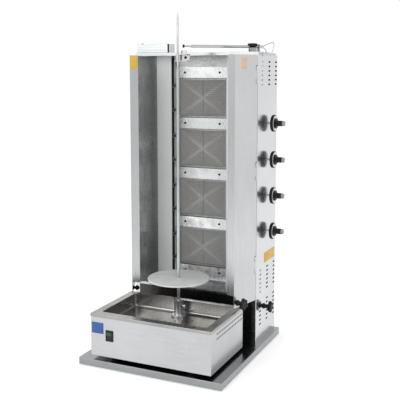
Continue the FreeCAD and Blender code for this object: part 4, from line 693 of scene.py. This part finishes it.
class GRILL_OT_shade_boards(bpy.types.Operator):
    """Fit black boards behind the vents, black discs in the box's vents and dark strips on the columns, all
    painted shade
    """

    bl_idname = "grill.vent_liners"
    bl_label = "Shade boards"

    def execute(self, context):
        # Painted shade: matt, near-black and fibrous, so the vents read as dark holes.
        shade_black = make_finish("Black board, painted shade", context.scene.grill_colours.shade_black, (0.8, 0.95), 2.0,
                           20, 0.6, relief_mm=0.4)
        tower_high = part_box("right_side_panel")[1]
        recess_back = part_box("recess_panels")[1].y + 2 * MM
        box_low, box_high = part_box("motor_box")
        thick = 1 * MM
        slots_middle, slots_height = 0.58, 1.0
        # Black boards inside the tower's side panels and the drip box's walls paint the shade behind their
        # vents
        for side, name in HANDS:
            panel = side * (tower_high.x - 7 * MM)
            self.fit(f"tower_shade_board_{name}", shade_black, (panel, (recess_back + tower_high.y) / 2, slots_middle),
                     (thick, tower_high.y - recess_back - 12 * MM, slots_height), "tower")
            wall = side * (box_high.x - 5 * MM)
            self.fit(f"box_shade_board_{name}", shade_black,
                     (wall, (box_low.y + box_high.y) / 2, (box_low.z + box_high.z) / 2),
                     (thick, box_high.y - box_low.y - 20 * MM, box_high.z - box_low.z - 16 * MM), "drip_box")
        self.close_vents(shade_black, box_low.y + 53.5 * MM, box_high.x)
        # Dark strips on the inner edges of the columns: painted shadow of the gap beside each column
        low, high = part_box("left_column")
        for side, name in HANDS:
            self.fit(f"column_shade_strip_{name}", shade_black,
                     (-side * (high.x + 0.4 * MM), low.y + 13 * MM, (low.z + high.z) / 2),
                     (thick / 2, 20 * MM, high.z - low.z), "tower")
        # A black board inside the rear cover paints the shade behind it
        low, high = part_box("rear_cover")
        self.fit("rear_shade_board", shade_black, (0, high.y - 7 * MM, (low.z + high.z) / 2),
                 (high.x - low.x - 30 * MM, thick, high.z - low.z - 30 * MM), "tower")
        return {"FINISHED"}

    def close_vents(self, material, first, wall):
        """Black discs of painted shade in the round vents of the drip box, which stand in pairs along each
        side, in mm.
        """
        pitch, lower_row, row_gap = 14.7, 149, 17
        disc, skin = turned([(-1.2, 3), (0, 3.6), (0.3, 3.5)], 16)
        count = 32
        vent = np.arange(count)
        faces = [[corner + number * len(disc) for corner in face] for number in range(count) for face in skin]
        for side, name in HANDS:
            places = np.stack([np.full(count, side * wall), first + vent // 2 * pitch * MM,
                               (lower_row + vent % 2 * row_gap) * MM], -1)
            points = disc @ axis_turn((side, 0, 0)).T + places[:, None]
            add_piece(f"vent_shade_disc_{name}", points.reshape(-1, 3), faces, "drip_box",
                      material)

    def fit(self, name, material, middle, size, body):
        """A flat board: four corners at its lower and at its upper end."""
        corners = np.array([(-1, -1), (1, -1), (1, 1), (-1, 1)]) / 2
        rings = [np.column_stack([corners * size[:2], np.full(4, end * size[2])]) for end in (-0.5, 0.5)]
        points, faces = shell(rings)
        add_piece(name, points + np.array(middle), faces, body, material)


class GRILL_OT_switch(bpy.types.Operator):
    """Build the rocker of the switch: a green half above and a black half below"""

    bl_idname = "grill.switch"
    bl_label = "Switch rocker"

    def execute(self, context):
        colours = context.scene.grill_colours
        # Moulded switch plastics: smooth and glossy, the green one tinted right through.
        green = make_finish("Polycarbonate, moulded green", colours.rocker, (0.12, 0.24), 1.0, 20, 0.8)
        black = make_finish("Nylon, moulded black, rocker", colours.moulded, (0.26, 0.4), 1.0, 20, 0.7)
        low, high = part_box("switch_bezel")
        pivot = np.array([(low.x + high.x) / 2, low.y + 4 * MM, (low.z + high.z) / 2])
        tilt = np.array(Matrix.Rotation(math.radians(7), 3, "X"))
        for name, material, ends, replaced in (("rocker_upper_half", green, (0.2, 14.8), ["switch_rocker"]),
                                               ("rocker_lower_half", black, (-14.8, -0.2), ())):
            points, faces = self.half(*ends)
            add_piece(name, points @ tilt.T + pivot, faces, "rocker", material, replaced)
        return {"FINISHED"}

    def half(self, low, high):
        """Rounded rectangles, one before another; the front ones dip by a share that grows to the pivot."""
        width, corner, deepest, reach = 19.6 * MM, 1.2 * MM, 1.6 * MM, 14.8 * MM
        outline = rounded_rectangle(width, (high - low) * MM, corner)
        rings = []
        for share, front in ((1, 1.5), (1, -4.2), (0.96, -4.9), (0.86, -5.2), (0.5, -5.2)):
            across, up = outline.T * share
            up = up + (low + high) / 2 * MM
            dip = deepest * (1 - np.abs(up) / reach) if front < 0 else 0
            rings.append(np.stack([across, front * MM + dip + 0 * up, up], -1))
        return shell(rings)


class GRILL_OT_labels(bpy.types.Operator):
    """Stick on the plain blank labels"""

    bl_idname = "grill.labels"
    bl_label = "Labels"

    def execute(self, context):
        colours = context.scene.grill_colours
        film = context.scene.grill_sizes.label_thickness
        # Printed vinyl film: flat colour under a satin skin, slightly faded in patches 25 mm wide.
        vinyl = {"roughness": (0.28, 0.42), "grain_mm": 3, "cloud_mm": 25, "shade": 0.86}
        blue = make_finish("Vinyl film, printed blue", colours.blue, **vinyl)
        yellow = make_finish("Vinyl film, printed yellow", colours.yellow, **vinyl)
        orange = make_finish("Vinyl film, printed orange", colours.orange, **vinyl)
        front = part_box("motor_box")[0].y
        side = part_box("right_side_panel")[1].x
        self.stick("blue_label", blue, (48, 40, film), (-0.203, front, 0.140), (0, -1, 0), "drip_box")
        self.stick("side_label", yellow, (118, 40, film), (side, 0.225, 0.335), (1, 0, 0), "tower")
        # On the wings: out from the hinge pin's middle, forward along the wing, and up.
        face, forward, hinge = self.wing(1, RIGHT_TOE_IN)
        place = hinge + face * 5 * MM + forward * 80 * MM + Vector((0, 0, 1.060))
        self.stick("right_wing_label", orange, (26, 40, film), place, face, "right_shield")
        face, forward, hinge = self.wing(-1, LEFT_TOE_IN)
        place = hinge - face * 10 * MM + forward * 132 * MM + Vector((0, 0, 1.064))
        self.stick("left_wing_label", yellow, (27, 44, film), place, forward, "left_shield")
        return {"FINISHED"}

    def wing(self, side, toe_in):
        """A wing's outward and forward directions, and the foot of its hinge pin."""
        pin_across, pin_back = 248.5 * MM, 77.5 * MM
        face = Vector((side * math.cos(toe_in), -math.sin(toe_in), 0))
        forward = Vector((-side * math.sin(toe_in), -math.cos(toe_in), 0))
        return face, forward, Vector((side * pin_across, pin_back, 0))

    def stick(self, name, material, size, place, normal, body):
        """A sheet with round corners, its upper edge drawn in by the thickness of the film.

        size holds its width and height in mm and its film in metres.
        """
        width, height, film = size
        corner = 2 * MM
        outline = rounded_rectangle(width * MM, height * MM, corner)
        inner = rounded_rectangle(width * MM - film, height * MM - film, corner)
        rings = [np.column_stack([line, np.full(len(line), rise)])
                 for line, rise in ((outline, 0.0), (outline, film * 0.6), (inner, film))]
        points, faces = shell(rings)
        turn = axis_turn(normal, Vector((0, 0, 1)).cross(Vector(normal)))
        add_piece(name, points @ turn.T + np.array(place), faces, body, material)


class GRILL_OT_fasteners(bpy.types.Operator):
    """Add the small bolt, rivets and screws that the CAD model leaves out"""

    bl_idname = "grill.fasteners"
    bl_label = "Small fasteners"

    def execute(self, context):
        colours = context.scene.grill_colours
        sizes = context.scene.grill_sizes
        # Oxidised or zinc-plated steel, cold-headed: a dull sheen, worn in patches 8 mm wide.
        dark = make_finish("Steel, black-oxide finish, small parts", colours.screw, (0.3, 0.5), 1.0, 8,
                           0.6, Metallic=1.0)
        plated = make_finish("Steel, zinc-plated", colours.plain, (0.24, 0.4), 1.0, 8, 0.75, Metallic=1.0)
        yoke_low, yoke_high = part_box("spit_yoke")
        bolt = [(0, 4.6), (2.2, 4.6), (3, 4), (3.4, 2.4), (3.5, 1)]
        place = (0.024, yoke_high.y - 3 * MM, yoke_low.z + 14 * MM)
        add_turned("yoke_bolt", bolt, place, (0, -1, 0), "spit_latch", "dark_screw", dark, sides=24)
        head = sizes.rivet / 2 / MM
        rivet = [(0, head), (0.6, head), (1.3, head * 0.8), (1.8, head * 0.45), (1.9, head * 0.1)]
        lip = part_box("sill")[0]
        for number, across in enumerate((-90, 0, 90), start=1):
            place = (across * MM, lip.y, lip.z + 4 * MM)
            add_turned(f"sill_rivet_{number}", rivet, place, (0, -1, 0), "tower", "dark_screw", dark,
                       sides=20)
        self.rear_screws(plated, sizes.cover_screw / 2 / MM)
        return {"FINISHED"}

    def rear_screws(self, material, head):
        """Domed screw heads along both sides of the rear cover, four in each row."""
        low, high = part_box("rear_cover")
        from_side, from_end = 9 * MM, 30 * MM
        dome = [(0, head), (0.5, head), (1.6, head * 0.85), (2.3, head * 0.5), (2.5, head * 0.1)]
        heights = np.linspace(low.z + from_end, high.z - from_end, 4)
        for side, across in (("left", low.x + from_side), ("right", high.x - from_side)):
            for row, height in enumerate(heights, start=1):
                add_turned(f"rear_screw_{side}_{row}", dome, (across, high.y, height), (0, 1, 0), "tower",
                           "dark_screw", material, sides=20)


class GRILL_OT_stage(bpy.types.Operator):
    """Set the plain floor, the soft light and the camera"""

    bl_idname = "grill.stage"
    bl_label = "Studio"

    def execute(self, context):
        studio = context.scene.grill_studio
        self.make_floor(studio.floor_size)
        self.make_world(context.scene)
        self.add_lamp("key_lamp", (-1.2, -3.2, 2.4), 2.6, studio.key_power)
        self.add_lamp("fill_lamp", (3.0, 0.4, 1.8), 2.4, studio.fill_power)
        self.make_camera(context.scene, studio)
        context.scene.view_settings.view_transform = "Standard"
        return {"FINISHED"}

    def make_floor(self, width):
        """A matt white floor, lifted to the backdrop's white where it is seen, with its shadow kept.

        Reflections see it fade to grey in front of the grill, as a real studio does behind the camera.
        """
        lift, dim_lift = 0.4, 0.15
        half = width / 2
        mesh = bpy.data.meshes.new("studio_floor")
        mesh.from_pydata([(-half, -half, 0), (half, -half, 0), (half, half, 0), (-half, half, 0)], [],
                         [(0, 1, 2, 3)])
        material, tree, place = new_material("Paper, matt white")
        forward = add_node(tree, "ShaderNodeSeparateXYZ", {0: place}, "Y")
        room = add_node(tree, "ShaderNodeMapRange", {0: forward, 1: -2.5, 2: -0.6, 3: dim_lift, 4: lift})
        camera, glossy = self.rays(tree)
        shown = add_node(tree, "ShaderNodeMapRange", {0: camera, 3: room, 4: lift})
        paint = add_node(tree, "ShaderNodeBsdfDiffuse", {"Color": (0.8, 0.8, 0.8, 1)})
        lift = add_node(tree, "ShaderNodeEmission", {"Strength": shown})
        lifted = add_node(tree, "ShaderNodeAddShader", {0: paint, 1: lift})
        seen = add_node(tree, "ShaderNodeMath", {0: camera, 1: glossy}, operation="MAXIMUM")
        surface = add_node(tree, "ShaderNodeMixShader", {0: seen, 1: paint, 2: lifted})
        add_node(tree, "ShaderNodeOutputMaterial", {"Surface": surface})
        mesh.materials.append(material)
        floor = bpy.data.objects.new("studio_floor", mesh)
        bpy.context.scene.collection.objects.link(floor)

    def make_world(self, scene):
        """White where it is seen, a pale grey light, and for reflections greyer overhead and in front."""
        scene.world = bpy.data.worlds.new("Soft studio")
        scene.world.use_nodes = True
        tree = scene.world.node_tree
        tree.nodes.clear()
        direction = add_node(tree, "ShaderNodeTexCoord", output="Generated")
        height = add_node(tree, "ShaderNodeSeparateXYZ", {0: direction}, "Z")
        forward = add_node(tree, "ShaderNodeSeparateXYZ", {0: direction}, "Y")
        overhead = add_node(tree, "ShaderNodeMapRange", {0: height, 1: 0.3, 2: 0.95, 3: 1.0, 4: 0.8})
        front = add_node(tree, "ShaderNodeMapRange", {0: forward, 1: -0.9, 2: -0.2, 3: 0.8, 4: 1.0})
        room = add_node(tree, "ShaderNodeMath", {0: overhead, 1: front}, operation="MULTIPLY")
        camera, glossy = self.rays(tree)
        reflected = add_node(tree, "ShaderNodeMapRange", {0: glossy, 3: 0.8, 4: room})
        shown = add_node(tree, "ShaderNodeMapRange", {0: camera, 3: reflected, 4: 1.0})
        light = add_node(tree, "ShaderNodeBackground", {"Color": (1, 1, 1, 1), "Strength": shown})
        add_node(tree, "ShaderNodeOutputWorld", {"Surface": light})

    def rays(self, tree):
        """Whether a ray comes from the camera or through glass, and whether it is a reflection."""
        camera, glossy, through = [add_node(tree, "ShaderNodeLightPath", output=f"Is {kind} Ray")
                                   for kind in ("Camera", "Glossy", "Transmission")]
        return add_node(tree, "ShaderNodeMath", {0: camera, 1: through}, operation="MAXIMUM"), glossy

    def add_lamp(self, name, place, width, power):
        """A square soft lamp aimed at the middle of the grill."""
        lamp = bpy.data.lights.new(name, "AREA")
        lamp.size = width
        lamp.energy = power
        holder = bpy.data.objects.new(name, lamp)
        holder.location = place
        middle = Vector((0, 0, 0.6))
        holder.rotation_euler = (middle - Vector(place)).to_track_quat("-Z", "Y").to_euler()
        bpy.context.scene.collection.objects.link(holder)

    def make_camera(self, scene, studio):
        camera = bpy.data.cameras.new("studio_camera")
        camera.lens = studio.lens
        camera.sensor_width = 36
        camera.shift_y = studio.camera_shift
        holder = bpy.data.objects.new("studio_camera", camera)
        holder.location = studio.camera_place
        holder.rotation_euler = Vector(studio.camera_aim).to_track_quat("-Z", "Y").to_euler()
        scene.collection.objects.link(holder)
        scene.camera = holder


OPERATORS = (
    GRILL_OT_outer_sheets, GRILL_OT_inner_sheets, GRILL_OT_machine_parts, GRILL_OT_burner_screens,
    GRILL_OT_gas_knobs, GRILL_OT_hand_knobs, GRILL_OT_latch_rod, GRILL_OT_shade_boards, GRILL_OT_switch,
    GRILL_OT_labels, GRILL_OT_fasteners, GRILL_OT_stage,
)
SETTINGS = {"grill_colours": GrillColours, "grill_sizes": GrillSizes, "grill_studio": GrillStudio}


class GRILL_PT_sidebar(bpy.types.Panel):
    """Lists the grill's operators"""

    bl_idname = "GRILL_PT_sidebar"
    bl_label = "Doner grill"
    bl_space_type = "VIEW_3D"
    bl_region_type = "UI"
    bl_category = "Grill"

    def draw(self, context):
        for operator in OPERATORS:
            self.layout.operator(operator.bl_idname)


def register():
    for item in (*SETTINGS.values(), *OPERATORS, GRILL_PT_sidebar):
        bpy.utils.register_class(item)
    for name, group in SETTINGS.items():
        setattr(bpy.types.Scene, name, PointerProperty(type=group))


def unregister():
    for name in SETTINGS:
        delattr(bpy.types.Scene, name)
    for item in reversed((*SETTINGS.values(), *OPERATORS, GRILL_PT_sidebar)):
        bpy.utils.unregister_class(item)


def main():
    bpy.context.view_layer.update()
    register()
    for operator in OPERATORS:
        group, name = operator.bl_idname.split(".")
        getattr(getattr(bpy.ops, group), name)()


if __name__ == "__main__":
    main()
